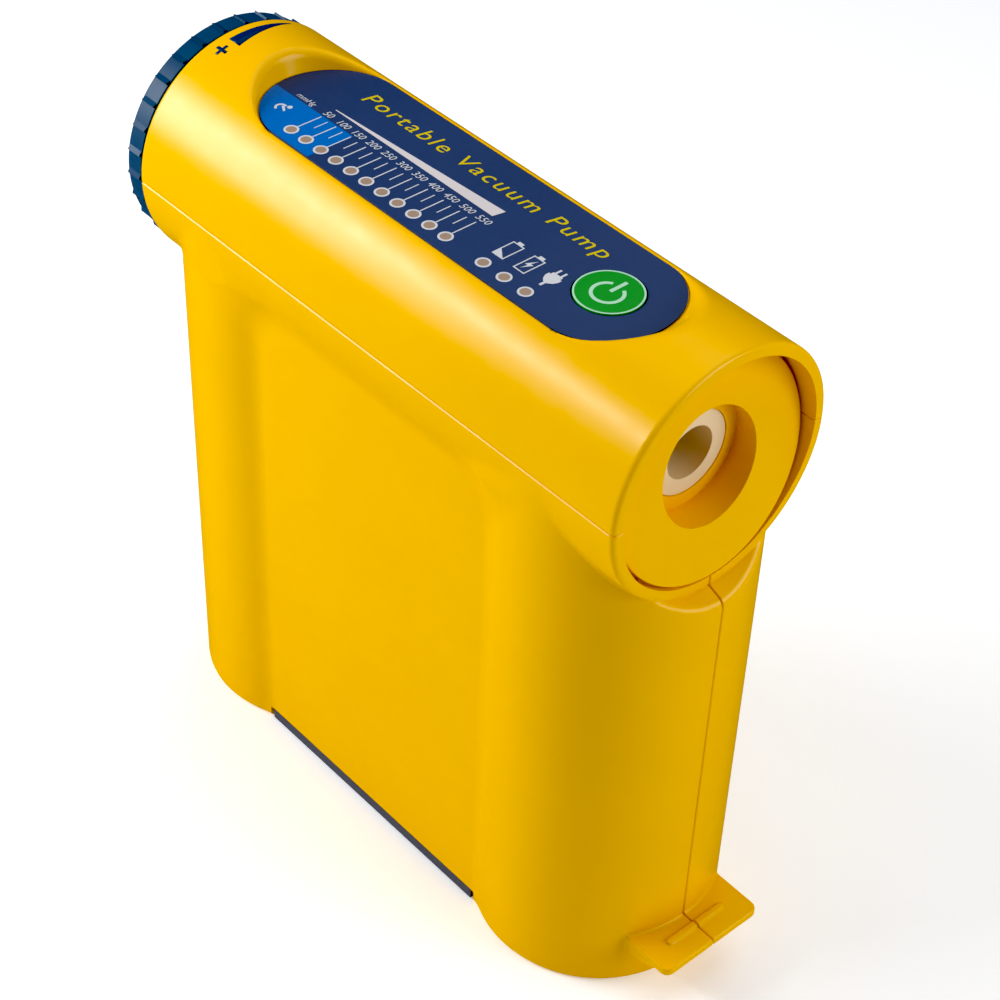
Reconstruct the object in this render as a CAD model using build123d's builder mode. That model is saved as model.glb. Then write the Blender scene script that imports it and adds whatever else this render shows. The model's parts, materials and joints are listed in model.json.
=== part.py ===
from build123d import *
import math
import os

os.makedirs("parts", exist_ok=True)

# The body: a barrel along X on a slab with a round column at each end.
# The origin is the centre of the base.
AXIS_Z = 202.5
BARREL_R = 40.7
BARREL_BACK = -113.6
BARREL_FRONT = 102.3
BARREL_BORE_R = 38.2
MOUTH_R = 36.9
COLLAR_BACK = 82.2
LIP_FRONT = -111.1
BACK_COLUMN_X = -80.7
FRONT_COLUMN_X = 68.2
COLUMN_R = 40.4
SLAB_HALF = 36.0
SLAB_BLEND_R = 14.0
WALL = 2.5
BASE_EDGE_R = 2.0
RIM_EDGE_R = 1.4
SEAM_GROOVE = 0.5
MID_X = (BACK_COLUMN_X + FRONT_COLUMN_X) / 2
COLUMN_PITCH = FRONT_COLUMN_X - BACK_COLUMN_X
BARREL_LENGTH = BARREL_FRONT - BARREL_BACK
FRONT_FACE_X = FRONT_COLUMN_X + COLUMN_R
BACK_FACE_X = BACK_COLUMN_X - COLUMN_R

# The crescent scoop under the front rim, and the room that the knob needs above the back column.
SCOOP_R = 40.5
SCOOP_FRONT_R = 43.4
KNOB_ROOM_R = 41.2

# Canister ledge on the front column.
LEDGE_TOP = 22.5
LEDGE_THICK = 2.8
LEDGE_FRONT = 122.4
LEDGE_HALF = 20.5
LEDGE_CORNER_R = 3.0
LEDGE_RIB_X = 114.2
LEDGE_RIB_WIDTH = 2.4
LEDGE_RIB_HALF = 12.5
LEDGE_RIB_HEIGHT = 0.9
GUSSET_THICK = 2.4
GUSSET_BACK = 101.0
GUSSET_DROP = 8.5

# Recessed control panel in the top cover.
LABEL_TOP = AXIS_Z + 33.3
LABEL_THICK = 0.6
PANEL_FLOOR = LABEL_TOP - LABEL_THICK
PANEL_THICK = 2.4
PANEL_UNDER = PANEL_FLOOR - PANEL_THICK
LABEL_BACK_X = -66.7
LABEL_FRONT_X = 54.9
LABEL_HALF = 22.6
LABEL_BACK_A = 22.6
LABEL_FRONT_A = 20.0
LABEL_GAP = 0.3
PANEL_BACK_SLOPE = 2.6
PANEL_FRONT_SLOPE = 7.5
PANEL_SIDE_SLOPE = 1.4
PANEL_RISE = 7.6
SNAP_TAB_XS = (-95.0, -45.0, 5.0, 55.0)
SNAP_TAB_LENGTH = 12.0
SNAP_TAB_REACH = 6.0
SNAP_TAB_THICK = 1.8
PAN_MARGIN = 6.0

# Lights and the power button on the panel.
GAUGE_X = -65.4
GAUGE_PITCH = 7.09
GAUGE_COUNT = 11
STATUS_X = 21.6
STATUS_PITCH = 8.8
STATUS_COUNT = 3
LIGHT_Y = -17.1
LENS_R = 1.7
BUTTON_X = 53.9
BUTTON_Y = 0.5
BUTTON_R = 10.3
BUTTON_GAP = 0.35
BUTTON_PROUD = 0.3
BUTTON_FLANGE_R = 12.0
BUTTON_STEM_R = 3.0
BUTTON_FLANGE_TOP = PANEL_UNDER - 0.1
BUTTON_FLANGE_THICK = 1.2
DOME_R = 5.0
DOME_TOP = 229.0

# Control board.
BOARD_TOP = 226.5
BOARD_THICK = 1.6
BOARD_BACK = -86.0
BOARD_FRONT = 74.0
BOARD_HALF = 27.0
BOARD_SCREW_XS = (-78.0, 70.0)
BOARD_SCREW_Y = 19.0
BOARD_BOSS_R = 3.0
BOARD_PILOT_R = 1.1
BOARD_BOTTOM = BOARD_TOP - BOARD_THICK
HEADER_TALL = 4.0
CAPACITOR_TALL = 9.0
LED_BASE = 1.2

# Front port: a tilted disc with a round cup, and the seal tube at the cup's floor.
PORT_X = 97.7
PORT_TILT = 9.15
PORT_R = 36.0
PORT_THICK = 2.5
PORT_HOLE_R = 18.1
CUP_FLOOR = 90.0
CUP_OUTER_R = 20.4
SEAL_R = 14.0
SEAL_BORE_R = 8.6
SEAL_BACK = 66.0
SEAL_LIP_R = 17.0
SKIRT_R = 33.5
SKIRT_THICK = 2.0
FLANGE_R = 38.0
FLANGE_BACK = 79.9

# Vacuum regulator behind the knob.
KNOB_BACK = -122.4
KNOB_FRONT = -114.4
KNOB_R = 39.3
KNOB_RIB_HEIGHT = 0.8
KNOB_RIBS = 30
KNOB_DISH_DEPTH = 1.4
KNOB_DISH_R = 33.3
KNOB_HUB_R = 9.0
KNOB_FACE = 4.0
KNOB_CAP_R = 6.4
KNOB_BUSH_BACK = KNOB_BACK + 4.5
SPINDLE_R = 5.0
RUNNING = 0.05
BULKHEAD_BACK = -111.0
REGULATOR_BACK = -108.5
REGULATOR_FRONT = -66.0
REGULATOR_R = 13.0
REGULATOR_BORE_R = 9.5
REGULATOR_BORE_BACK = -103.0
COLLAR_R = 8.0
THREAD_BACK = -98.0
THREAD_LENGTH = 12.0
AIR_HOLE_XS = (-86.0, -82.0)
AIR_HOLE_R = 1.2
SCREW_THREAD_R = 3.0
SPRING_BACK = -91.0
SPRING_FRONT = -79.0
SPRING_R = 6.5
SPRING_WIRE_R = 0.6
SPRING_PITCH = 2.2
POPPET_R = 8.4
POPPET_GUIDE_R = 4.0

# Battery door and battery.
DOOR_BACK = -60.5
DOOR_FRONT = 47.1
DOOR_TOP = 4.7
DOOR_BOTTOM = 0.5
DOOR_GAP = 0.2
TONGUE = 1.5
TONGUE_LOW = 2.1
TONGUE_HIGH = 3.3
RAIL_WIDTH = 6.0
RAIL_TOP = 7.0
CELL_R = 8.4
CELL_LENGTH = 43.0
CELL_PITCH = 17.2
CELL_BOTTOM = 9.0
CELL_ROWS = 5
CELL_TOP = CELL_BOTTOM + CELL_LENGTH
LINK_THICK = 0.3

# Chassis, motor and diaphragm pump.
DECK_BOTTOM = 62.0
DECK_TOP = 64.5
CHASSIS_BACK = -58.0
CHASSIS_FRONT = 45.5
CHASSIS_HALF = 33.0
BRACKET_BOTTOM = 70.0
BRACKET_TOP = 72.0
MOUNT_R = 5.0
MOUNT_HOLE_R = 1.6
MOTOR_Z = 96.0
MOTOR_R = 20.0
MOTOR_BACK = -53.0
MOTOR_CAN_THICK = 1.5
MAGNET_R = 15.0
ROTOR_R = 13.8
END_BELL_THICK = 4.0
REAR_BEARING_R = 4.0
FRONT_BEARING_R = 5.0
TERMINAL_Y = 10.0
TERMINAL_RISE = 8.0
TERMINAL_LENGTH = 4.0
SHAFT_R = 2.0
FRAME_BACK = 1.0
FRAME_FRONT = 43.0
FRAME_HALF = 23.0
FRAME_TOP = 117.4
CRANK_X = 22.0
CRANK_THROW = 1.6
PIN_R = 6.0
COUNTERWEIGHT_R = 15.0
COUNTERWEIGHT_THICK = 5.0
ROD_BEARING_R = 10.5
ROD_EYE_R = 14.0
ROD_THICK = 6.0
ROD_PLATE_R = 10.0
ROD_PLATE_THICK = 2.5
CLAMP_SCREW_DEPTH = 6.0
CLAMP_THICK = 1.0
DIAPHRAGM_R = 20.5
FLEX_R = 10.5
CHAMBER_R = 16.5
DIAPHRAGM_THICK = 1.5
HEAD_BOTTOM = FRAME_TOP + DIAPHRAGM_THICK
HEAD_TOP = 128.0
COVER_TOP = 138.0
HEAD_HALF = 21.0
HEAD_SCREW_PITCH = 34.0
PILOT_R = 1.25
CLEARANCE_R = 1.6
VALVE_SEAT_R = 6.0
BARB_Y = 9.0
HOSE_R = 4.5
HOSE_BORE_R = 3.0
MUFFLER_Z = 133.0
MUFFLER_R = 8.0
MUFFLER_WALL = 2.0

# Screws that hold the two housings together, and the DC inlet in the back column.
SCREW_SPOTS = ((-98.0, 20.0), (-98.0, 140.0), (86.0, 40.0), (86.0, 140.0), (-40.0, 160.0))
SCREW_BOSS_R = 4.0
SCREW_HEAD_R = 2.9
SCREW_HEAD_Y = 8.0
SCREW_SHANK_R = 1.5
SCREW_DEPTH = 12.0
VENT_X = -30.0
VENT_PITCH = 5.0
VENT_COUNT = 6
VENT_WIDTH = 2.0
VENT_HEIGHT = 18.0
JACK_Z = 36.0
JACK_R = 6.0
JACK_BORE_R = 2.75
JACK_PIN_R = 1.0
JACK_DEPTH = 10.0
JACK_BODY_LENGTH = 12.0


def finish(builder, name):
    """Labels a finished piece and writes it to its own file."""
    builder.part.label = name
    export_step(builder.part, f"parts/{name}.step")


def panel_outline(plane, grow_back, grow_front, grow_side):
    """The control panel's outline on a plane: straight sides between two half ellipses."""
    half = LABEL_HALF + grow_side
    with BuildSketch(plane) as outline:
        with BuildLine():
            Line((LABEL_BACK_X, -half), (LABEL_FRONT_X, -half))
            front = (LABEL_FRONT_X, 0)
            EllipticalCenterArc(front, LABEL_FRONT_A + grow_front, half, start_angle=-90, arc_size=180)
            Line((LABEL_FRONT_X, half), (LABEL_BACK_X, half))
            back = (LABEL_BACK_X, 0)
            EllipticalCenterArc(back, LABEL_BACK_A + grow_back, half, start_angle=90, arc_size=180)
        make_face()
    return outline.sketch


def barrel_form(radius, edge_r):
    """The barrel as a closed solid of that radius, with its front rim rounded by edge_r."""
    with BuildPart() as barrel:
        with BuildSketch(Plane.XZ) as profile:
            with Locations(((BARREL_BACK + BARREL_FRONT) / 2, AXIS_Z - radius / 2)):
                Rectangle(BARREL_LENGTH, radius)
            if edge_r:
                fillet(profile.vertices().group_by(Axis.Z)[0].sort_by(Axis.X)[-1], edge_r)
        revolve(axis=Axis((0, 0, AXIS_Z), (1, 0, 0)))
    return barrel.part


def case_form(inset):
    """The closed form of the whole body, moved inwards by inset."""
    with BuildPart() as form:
        with BuildSketch(Plane.XY.offset(inset)) as plan:
            with Locations((BACK_COLUMN_X, 0), (FRONT_COLUMN_X, 0)):
                Circle(COLUMN_R - inset)
            with Locations((MID_X, 0)):
                Rectangle(COLUMN_PITCH, 2 * (SLAB_HALF - inset))
            slab_corners = plan.vertices().filter_by(lambda v: abs(abs(v.Y) - SLAB_HALF + inset) < 0.01)
            fillet(slab_corners, SLAB_BLEND_R)
        extrude(amount=AXIS_Z - inset)
        if inset == 0:
            fillet(form.faces().sort_by(Axis.Z)[0].edges(), BASE_EDGE_R)
        with BuildSketch(Plane.XZ) as scoop:
            with BuildLine():
                Polyline(
                    (BARREL_FRONT - inset, AXIS_Z),
                    (BARREL_FRONT - inset, AXIS_Z - SCOOP_R - inset),
                    (FRONT_FACE_X + 1, AXIS_Z - SCOOP_FRONT_R - inset),
                    (FRONT_FACE_X + 1, AXIS_Z),
                    close=True,
                )
            make_face()
            room_x = (BACK_FACE_X - 1 + BARREL_BACK + inset) / 2
            with Locations((room_x, AXIS_Z - (KNOB_ROOM_R + inset) / 2)):
                Rectangle(BARREL_BACK + inset - BACK_FACE_X + 1, KNOB_ROOM_R + inset)
        revolve(axis=Axis((0, 0, AXIS_Z), (1, 0, 0)), mode=Mode.SUBTRACT)
        add(barrel_form(BARREL_R if inset == 0 else MOUTH_R, RIM_EDGE_R if inset == 0 else 0))
        if inset:
            with BuildSketch(Plane.YZ.offset(LIP_FRONT)):
                with Locations((0, AXIS_Z)):
                    Circle(BARREL_BORE_R)
            extrude(amount=COLLAR_BACK - LIP_FRONT)
    return form.part


def seam_grooves():
    """Fine V grooves along the parting lines between the cover and the two housings."""
    with BuildPart() as grooves:
        with BuildSketch(Plane.YZ.offset(BARREL_BACK - 1)):
            with Locations((-BARREL_R, AXIS_Z), (BARREL_R, AXIS_Z)):
                Rectangle(SEAM_GROOVE, SEAM_GROOVE, rotation=45)
        extrude(amount=BARREL_LENGTH + 2)
        with BuildSketch(Plane.XY.offset(-1)):
            with Locations((BACK_FACE_X, 0), (FRONT_FACE_X, 0)):
                Rectangle(SEAM_GROOVE, SEAM_GROOVE, rotation=45)
        extrude(amount=AXIS_Z - SCOOP_FRONT_R + 3)
    return grooves.part


outer_form = case_form(0)
inner_form = case_form(WALL)
grooves = seam_grooves()


def housing(side):
    """One lower housing: side is -1 for the left one, at -Y, and 1 for the right one, at +Y."""
    keep = Keep.TOP if side < 0 else Keep.BOTTOM
    with BuildPart() as shell:
        add(outer_form)
        add(inner_form, mode=Mode.SUBTRACT)
        # Rails that carry the battery door.
        rail_xs = (DOOR_BACK - RAIL_WIDTH / 2, DOOR_FRONT + RAIL_WIDTH / 2)
        with BuildSketch(Plane.XY):
            with Locations(*[(x, 0) for x in rail_xs]):
                Rectangle(RAIL_WIDTH, 2 * (SLAB_HALF - WALL / 2))
        extrude(amount=RAIL_TOP)
        # Screw bosses across the parting plane.
        with BuildSketch(Plane.XZ.offset(-SLAB_HALF + WALL)):
            with Locations(*SCREW_SPOTS):
                Circle(SCREW_BOSS_R)
        extrude(amount=2 * (SLAB_HALF - WALL))
        # Canister ledge with its rib and end gussets.
        with BuildSketch(Plane.XY.offset(LEDGE_TOP - LEDGE_THICK)) as ledge:
            with Locations(((FRONT_COLUMN_X + LEDGE_FRONT) / 2, 0)):
                Rectangle(LEDGE_FRONT - FRONT_COLUMN_X, 2 * LEDGE_HALF)
            fillet(ledge.vertices().group_by(Axis.X)[-1], LEDGE_CORNER_R)
            with Locations((FRONT_COLUMN_X, 0)):
                Circle(COLUMN_R - WALL / 2, mode=Mode.SUBTRACT)
        extrude(amount=LEDGE_THICK)
        with BuildSketch(Plane.XY.offset(LEDGE_TOP - 0.1)):
            with Locations((LEDGE_RIB_X, 0)):
                SlotOverall(2 * LEDGE_RIB_HALF, LEDGE_RIB_WIDTH, rotation=90)
        extrude(amount=LEDGE_RIB_HEIGHT + 0.1)
        for y in (-LEDGE_HALF, LEDGE_HALF - GUSSET_THICK):
            with BuildSketch(Plane.XZ.offset(-y - GUSSET_THICK)):
                with BuildLine():
                    Polyline(
                        (GUSSET_BACK, LEDGE_TOP - 0.5),
                        (LEDGE_FRONT - 5, LEDGE_TOP - LEDGE_THICK + 0.1),
                        (LEDGE_FRONT - 7, LEDGE_TOP - LEDGE_THICK - 0.9),
                        (GUSSET_BACK, LEDGE_TOP - GUSSET_DROP),
                        close=True,
                    )
                make_face()
            extrude(amount=GUSSET_THICK)
        # Opening for the battery door, and the grooves for its tongues, open at the right side only.
        with BuildSketch(Plane.XY.offset(-1)):
            with Locations(((DOOR_BACK + DOOR_FRONT) / 2, 0)):
                Rectangle(DOOR_FRONT - DOOR_BACK, 4 * SLAB_HALF)
        extrude(amount=DOOR_TOP + DOOR_GAP + 1, mode=Mode.SUBTRACT)
        with BuildSketch(Plane.XY.offset(TONGUE_LOW - DOOR_GAP)):
            with Locations(((DOOR_BACK + DOOR_FRONT) / 2, SLAB_HALF / 2 + 2)):
                Rectangle(DOOR_FRONT - DOOR_BACK + 2 * (TONGUE + DOOR_GAP), 3 * SLAB_HALF)
        extrude(amount=TONGUE_HIGH - TONGUE_LOW + 2 * DOOR_GAP, mode=Mode.SUBTRACT)
        # Hole for the DC inlet.
        with BuildSketch(Plane.YZ.offset(BACK_FACE_X - 1)):
            with Locations((0, JACK_Z)):
                Circle(JACK_R + RUNNING)
        extrude(amount=12, mode=Mode.SUBTRACT)
        # Screw holes: a clearance hole and a head recess on the right, a pilot hole on the left.
        with BuildSketch(Plane.XZ.offset(-COLUMN_R)):
            with Locations(*SCREW_SPOTS):
                Circle(SCREW_HEAD_R + 0.3)
        extrude(amount=COLUMN_R - SCREW_HEAD_Y, mode=Mode.SUBTRACT)
        with BuildSketch(Plane.XZ.offset(-SCREW_HEAD_Y - 1)):
            with Locations(*SCREW_SPOTS):
                Circle(CLEARANCE_R)
        extrude(amount=SCREW_HEAD_Y + 1 + SCREW_DEPTH + 2, mode=Mode.SUBTRACT)
        # Exhaust vent beside the muffler, on the right side.
        with BuildSketch(Plane.XZ.offset(-SLAB_HALF - 1)):
            with Locations((VENT_X, MUFFLER_Z)):
                with GridLocations(VENT_PITCH, 0, VENT_COUNT, 1):
                    SlotOverall(VENT_HEIGHT, VENT_WIDTH, rotation=90)
        extrude(amount=2 * WALL, mode=Mode.SUBTRACT)
        add(grooves, mode=Mode.SUBTRACT)
        split(bisect_by=Plane.XY.offset(AXIS_Z), keep=Keep.BOTTOM)
        split(bisect_by=Plane.XZ, keep=keep)
    return shell


left_housing = housing(-1)
finish(left_housing, "left_housing")
right_housing = housing(1)
finish(right_housing, "right_housing")

light_spots = [(GAUGE_X + i * GAUGE_PITCH, LIGHT_Y) for i in range(GAUGE_COUNT)]
status_spots = [(STATUS_X + i * STATUS_PITCH, LIGHT_Y) for i in range(STATUS_COUNT)]
board_screw_spots = [(x, y) for x in BOARD_SCREW_XS for y in (-BOARD_SCREW_Y, BOARD_SCREW_Y)]

with BuildPart() as top_cover:
    add(barrel_form(BARREL_R, RIM_EDGE_R))
    with BuildSketch(Plane.YZ.offset(BARREL_BACK)):
        with Locations((0, AXIS_Z)):
            Circle(MOUTH_R)
    extrude(amount=BARREL_LENGTH, mode=Mode.SUBTRACT)
    with BuildSketch(Plane.YZ.offset(LIP_FRONT)):
        with Locations((0, AXIS_Z)):
            Circle(BARREL_BORE_R)
    extrude(amount=COLLAR_BACK - LIP_FRONT, mode=Mode.SUBTRACT)
    # A flat pan carries the panel.
    with BuildSketch(Plane.YZ.offset(LABEL_BACK_X - LABEL_BACK_A - PAN_MARGIN)):
        with Locations((0, AXIS_Z)):
            Circle(BARREL_R - 1)
        with Locations((0, PANEL_UNDER + BARREL_R)):
            Rectangle(2 * BARREL_R, 2 * BARREL_R, mode=Mode.INTERSECT)
    extrude(amount=COLLAR_BACK + 1 - LABEL_BACK_X + LABEL_BACK_A + PAN_MARGIN)
    with BuildSketch(Plane.XY.offset(BOARD_TOP)):
        with Locations(*board_screw_spots):
            Circle(BOARD_BOSS_R)
    extrude(amount=PANEL_UNDER - BOARD_TOP + 1)
    # Snap tabs that reach down inside the two housings.
    for x in SNAP_TAB_XS:
        with BuildSketch(Plane.YZ.offset(x)):
            with Locations((0, AXIS_Z)):
                Circle(BARREL_BORE_R + 0.5)
                Circle(BARREL_BORE_R - SNAP_TAB_THICK, mode=Mode.SUBTRACT)
            with Locations((0, AXIS_Z - 1)):
                Rectangle(2 * BARREL_R, 2 * SNAP_TAB_REACH - 2, mode=Mode.INTERSECT)
        extrude(amount=SNAP_TAB_LENGTH)
    add(panel_outline(Plane.XY.offset(PANEL_FLOOR), LABEL_GAP, LABEL_GAP, LABEL_GAP))
    add(
        panel_outline(
            Plane.XY.offset(PANEL_FLOOR + PANEL_RISE + LABEL_THICK),
            PANEL_BACK_SLOPE,
            PANEL_FRONT_SLOPE,
            PANEL_SIDE_SLOPE,
        )
    )
    loft(ruled=True, mode=Mode.SUBTRACT)
    with BuildSketch(Plane.XY.offset(PANEL_UNDER - 1)):
        with Locations(*light_spots, *status_spots):
            Circle(LENS_R + RUNNING)
        with Locations((BUTTON_X, BUTTON_Y)):
            Circle(BUTTON_R + BUTTON_GAP)
    extrude(amount=PANEL_THICK + 2, mode=Mode.SUBTRACT)
    with BuildSketch(Plane.XY.offset(BOARD_TOP - 1)):
        with Locations(*board_screw_spots):
            Circle(BOARD_PILOT_R)
    extrude(amount=5, mode=Mode.SUBTRACT)
    add(grooves, mode=Mode.SUBTRACT)
    split(bisect_by=Plane.XY.offset(AXIS_Z - SNAP_TAB_REACH), keep=Keep.TOP)
    # Below the parting plane only the snap tabs remain.
    with BuildSketch(Plane.YZ.offset(BARREL_BACK - 1)):
        with Locations((0, AXIS_Z - 5)):
            Rectangle(3 * BARREL_R, 10)
        with Locations((0, AXIS_Z)):
            Circle(BARREL_BORE_R - 0.05, mode=Mode.SUBTRACT)
    extrude(amount=BARREL_LENGTH + 2, mode=Mode.SUBTRACT)
    for x0, x1 in ((BARREL_BACK - 1, LIP_FRONT), (COLLAR_BACK, BARREL_FRONT + 1)):
        with BuildSketch(Plane.YZ.offset(x0)):
            with Locations((0, AXIS_Z - 5)):
                Rectangle(3 * BARREL_R, 10)
        extrude(amount=x1 - x0, mode=Mode.SUBTRACT)
finish(top_cover, "top_cover")

port_plane = Plane(
    origin=(PORT_X, 0, AXIS_Z),
    x_dir=(0, 1, 0),
    z_dir=(math.cos(math.radians(PORT_TILT)), 0, math.sin(math.radians(PORT_TILT))),
)

with BuildPart() as front_port_plate:
    with BuildSketch(Plane.YZ.offset(FLANGE_BACK)):
        with Locations((0, AXIS_Z)):
            Circle(SKIRT_R)
            Circle(SKIRT_R - SKIRT_THICK, mode=Mode.SUBTRACT)
            Circle(CUP_OUTER_R)
    extrude(amount=PORT_X + 10 - FLANGE_BACK)
    with BuildSketch(Plane.YZ.offset(FLANGE_BACK)):
        with Locations((0, AXIS_Z)):
            Circle(CUP_OUTER_R)
    extrude(amount=CUP_FLOOR - 2 - FLANGE_BACK, mode=Mode.SUBTRACT)
    with BuildSketch(Plane.YZ.offset(FLANGE_BACK)):
        with Locations((0, AXIS_Z)):
            Circle(FLANGE_R)
            Circle(SKIRT_R - SKIRT_THICK, mode=Mode.SUBTRACT)
    extrude(amount=SKIRT_THICK)
    # The skirt and flange stop short of the panel's pan at their top.
    with BuildSketch(Plane.YZ.offset(FLANGE_BACK - 1)):
        with Locations((0, PANEL_UNDER - 0.5 + FLANGE_R)):
            Rectangle(2 * FLANGE_R, 2 * FLANGE_R)
    extrude(amount=COLLAR_BACK + 1.5 - FLANGE_BACK + 1, mode=Mode.SUBTRACT)
    split(bisect_by=port_plane.offset(-1), keep=Keep.BOTTOM)
    with BuildSketch(port_plane.offset(-PORT_THICK)):
        Circle(PORT_R)
    extrude(amount=PORT_THICK)
    fillet(front_port_plate.faces().sort_by(Axis.X)[-1].outer_wire().edges(), 0.5)
    with BuildSketch(Plane.YZ.offset(CUP_FLOOR)):
        with Locations((0, AXIS_Z)):
            Circle(PORT_HOLE_R)
    extrude(amount=20, mode=Mode.SUBTRACT)
    with BuildSketch(Plane.YZ.offset(FLANGE_BACK)):
        with Locations((0, AXIS_Z)):
            Circle(SEAL_R)
    extrude(amount=20, mode=Mode.SUBTRACT)
finish(front_port_plate, "front_port_plate")

with BuildPart() as inlet_seal:
    with BuildSketch(Plane.YZ.offset(SEAL_BACK)):
        with Locations((0, AXIS_Z)):
            Circle(SEAL_R)
    extrude(amount=CUP_FLOOR - 0.2 - SEAL_BACK)
    with BuildSketch(Plane.YZ.offset(CUP_FLOOR - 5)):
        with Locations((0, AXIS_Z)):
            Circle(SEAL_LIP_R)
    extrude(amount=3)
    fillet(inlet_seal.faces().sort_by(Axis.X)[-1].edges(), 0.6)
    with BuildSketch(Plane.YZ.offset(SEAL_BACK)):
        with Locations((0, AXIS_Z)):
            Circle(HOSE_BORE_R)
    extrude(amount=CUP_FLOOR - SEAL_BACK, mode=Mode.SUBTRACT)
    with BuildSketch(Plane.YZ.offset(SEAL_BACK + 3)):
        with Locations((0, AXIS_Z)):
            Circle(SEAL_BORE_R)
    extrude(amount=CUP_FLOOR - SEAL_BACK, mode=Mode.SUBTRACT)
finish(inlet_seal, "inlet_seal")

# The manifold behind the seal sends one hose down to the pump and one back to the regulator.
MANIFOLD_BACK = 54.0
MANIFOLD_X = 60.0
MANIFOLD_R = 8.0
BARB_LENGTH = 10.0
BARB_R = HOSE_BORE_R
BARB_BORE_R = 1.8
BRANCH_BORE_R = 1.5
with BuildPart() as inlet_manifold:
    with BuildSketch(Plane.YZ.offset(MANIFOLD_BACK)):
        with Locations((0, AXIS_Z)):
            Circle(MANIFOLD_R)
    extrude(amount=SEAL_BACK - MANIFOLD_BACK)
    with BuildSketch(Plane.YZ.offset(MANIFOLD_BACK - BARB_LENGTH)):
        with Locations((0, AXIS_Z)):
            Circle(BARB_R)
    extrude(amount=BARB_LENGTH + 1)
    with BuildSketch(Plane.XY.offset(AXIS_Z - MANIFOLD_R - BARB_LENGTH)):
        with Locations((MANIFOLD_X, 0)):
            Circle(BARB_R)
    extrude(amount=14)
    with BuildSketch(Plane.YZ.offset(MANIFOLD_BACK - BARB_LENGTH)):
        with Locations((0, AXIS_Z)):
            Circle(BARB_BORE_R)
    extrude(amount=BARB_LENGTH + SEAL_BACK - MANIFOLD_BACK, mode=Mode.SUBTRACT)
    with BuildSketch(Plane.XY.offset(AXIS_Z - MANIFOLD_R - BARB_LENGTH)):
        with Locations((MANIFOLD_X, 0)):
            Circle(BRANCH_BORE_R)
    extrude(amount=MANIFOLD_R + BARB_LENGTH, mode=Mode.SUBTRACT)
finish(inlet_manifold, "inlet_manifold")


def hose_along(points, radii, outer_r, bore_r):
    """A round hose along straight runs joined by tangent arcs; bore_r of 0 gives a solid wire."""
    with BuildPart() as hose:
        with BuildLine() as route:
            if radii:
                FilletPolyline(*points, radius=radii)
            else:
                Line(*points)
        start = route.line @ 0
        with BuildSketch(Plane(origin=start, z_dir=route.line % 0)):
            Circle(outer_r)
            if bore_r:
                Circle(bore_r, mode=Mode.SUBTRACT)
        sweep()
    return hose.part


INLET_BARB_X = 32.0
HOSE_BEND_R = 9.0
with BuildPart() as inlet_hose:
    add(
        hose_along(
            [
                (INLET_BARB_X, -BARB_Y, COVER_TOP + 1),
                (INLET_BARB_X, -BARB_Y, 158.0),
                (MANIFOLD_X, 0, 166.0),
                (MANIFOLD_X, 0, AXIS_Z - 9),
            ],
            [HOSE_BEND_R, HOSE_BEND_R],
            HOSE_R,
            HOSE_BORE_R,
        )
    )
finish(inlet_hose, "inlet_hose")

TEE_X = 0.0
TEE_HALF = 12.0
TEE_COLLAR_HALF = 4.0
NIPPLE_FRONT = -56.0
SENSOR_BOTTOM = 214.5
with BuildPart() as vacuum_hoses:
    add(
        hose_along(
            [(TEE_X + 5, 0, AXIS_Z), (MANIFOLD_BACK - 0.5, 0, AXIS_Z)],
            [],
            HOSE_R,
            HOSE_BORE_R,
        )
    )
    add(
        hose_along(
            [(NIPPLE_FRONT - 8, 0, AXIS_Z), (TEE_X - 5, 0, AXIS_Z)],
            [],
            HOSE_R,
            HOSE_BORE_R,
        )
    )
finish(vacuum_hoses, "vacuum_hoses")

with BuildPart() as sensor_tee:
    with BuildSketch(Plane.YZ.offset(TEE_X - TEE_HALF)):
        with Locations((0, AXIS_Z)):
            Circle(BARB_R)
    extrude(amount=2 * TEE_HALF)
    with BuildSketch(Plane.YZ.offset(TEE_X - TEE_COLLAR_HALF)):
        with Locations((0, AXIS_Z)):
            Circle(HOSE_R)
    extrude(amount=2 * TEE_COLLAR_HALF)
    with BuildSketch(Plane.XY.offset(AXIS_Z)):
        with Locations((TEE_X, 0)):
            Circle(BARB_R)
    extrude(amount=SENSOR_BOTTOM - AXIS_Z - 1)
    with BuildSketch(Plane.YZ.offset(TEE_X - TEE_HALF)):
        with Locations((0, AXIS_Z)):
            Circle(BARB_BORE_R)
    extrude(amount=2 * TEE_HALF, mode=Mode.SUBTRACT)
    with BuildSketch(Plane.XY.offset(AXIS_Z)):
        with Locations((TEE_X, 0)):
            Circle(BRANCH_BORE_R)
    extrude(amount=SENSOR_BOTTOM - AXIS_Z, mode=Mode.SUBTRACT)
finish(sensor_tee, "sensor_tee")

with BuildPart() as vacuum_sensor:
    with BuildSketch(Plane.XY.offset(SENSOR_BOTTOM + 3)):
        with Locations((TEE_X, 0)):
            RectangleRounded(16, 12, 1)
    extrude(amount=BOARD_BOTTOM - SENSOR_BOTTOM - 3)
    with BuildSketch(Plane.XY.offset(SENSOR_BOTTOM - 4)):
        with Locations((TEE_X, 0)):
            Circle(BARB_R + 1.5)
            Circle(BARB_R, mode=Mode.SUBTRACT)
    extrude(amount=8)
finish(vacuum_sensor, "vacuum_sensor")

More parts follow.
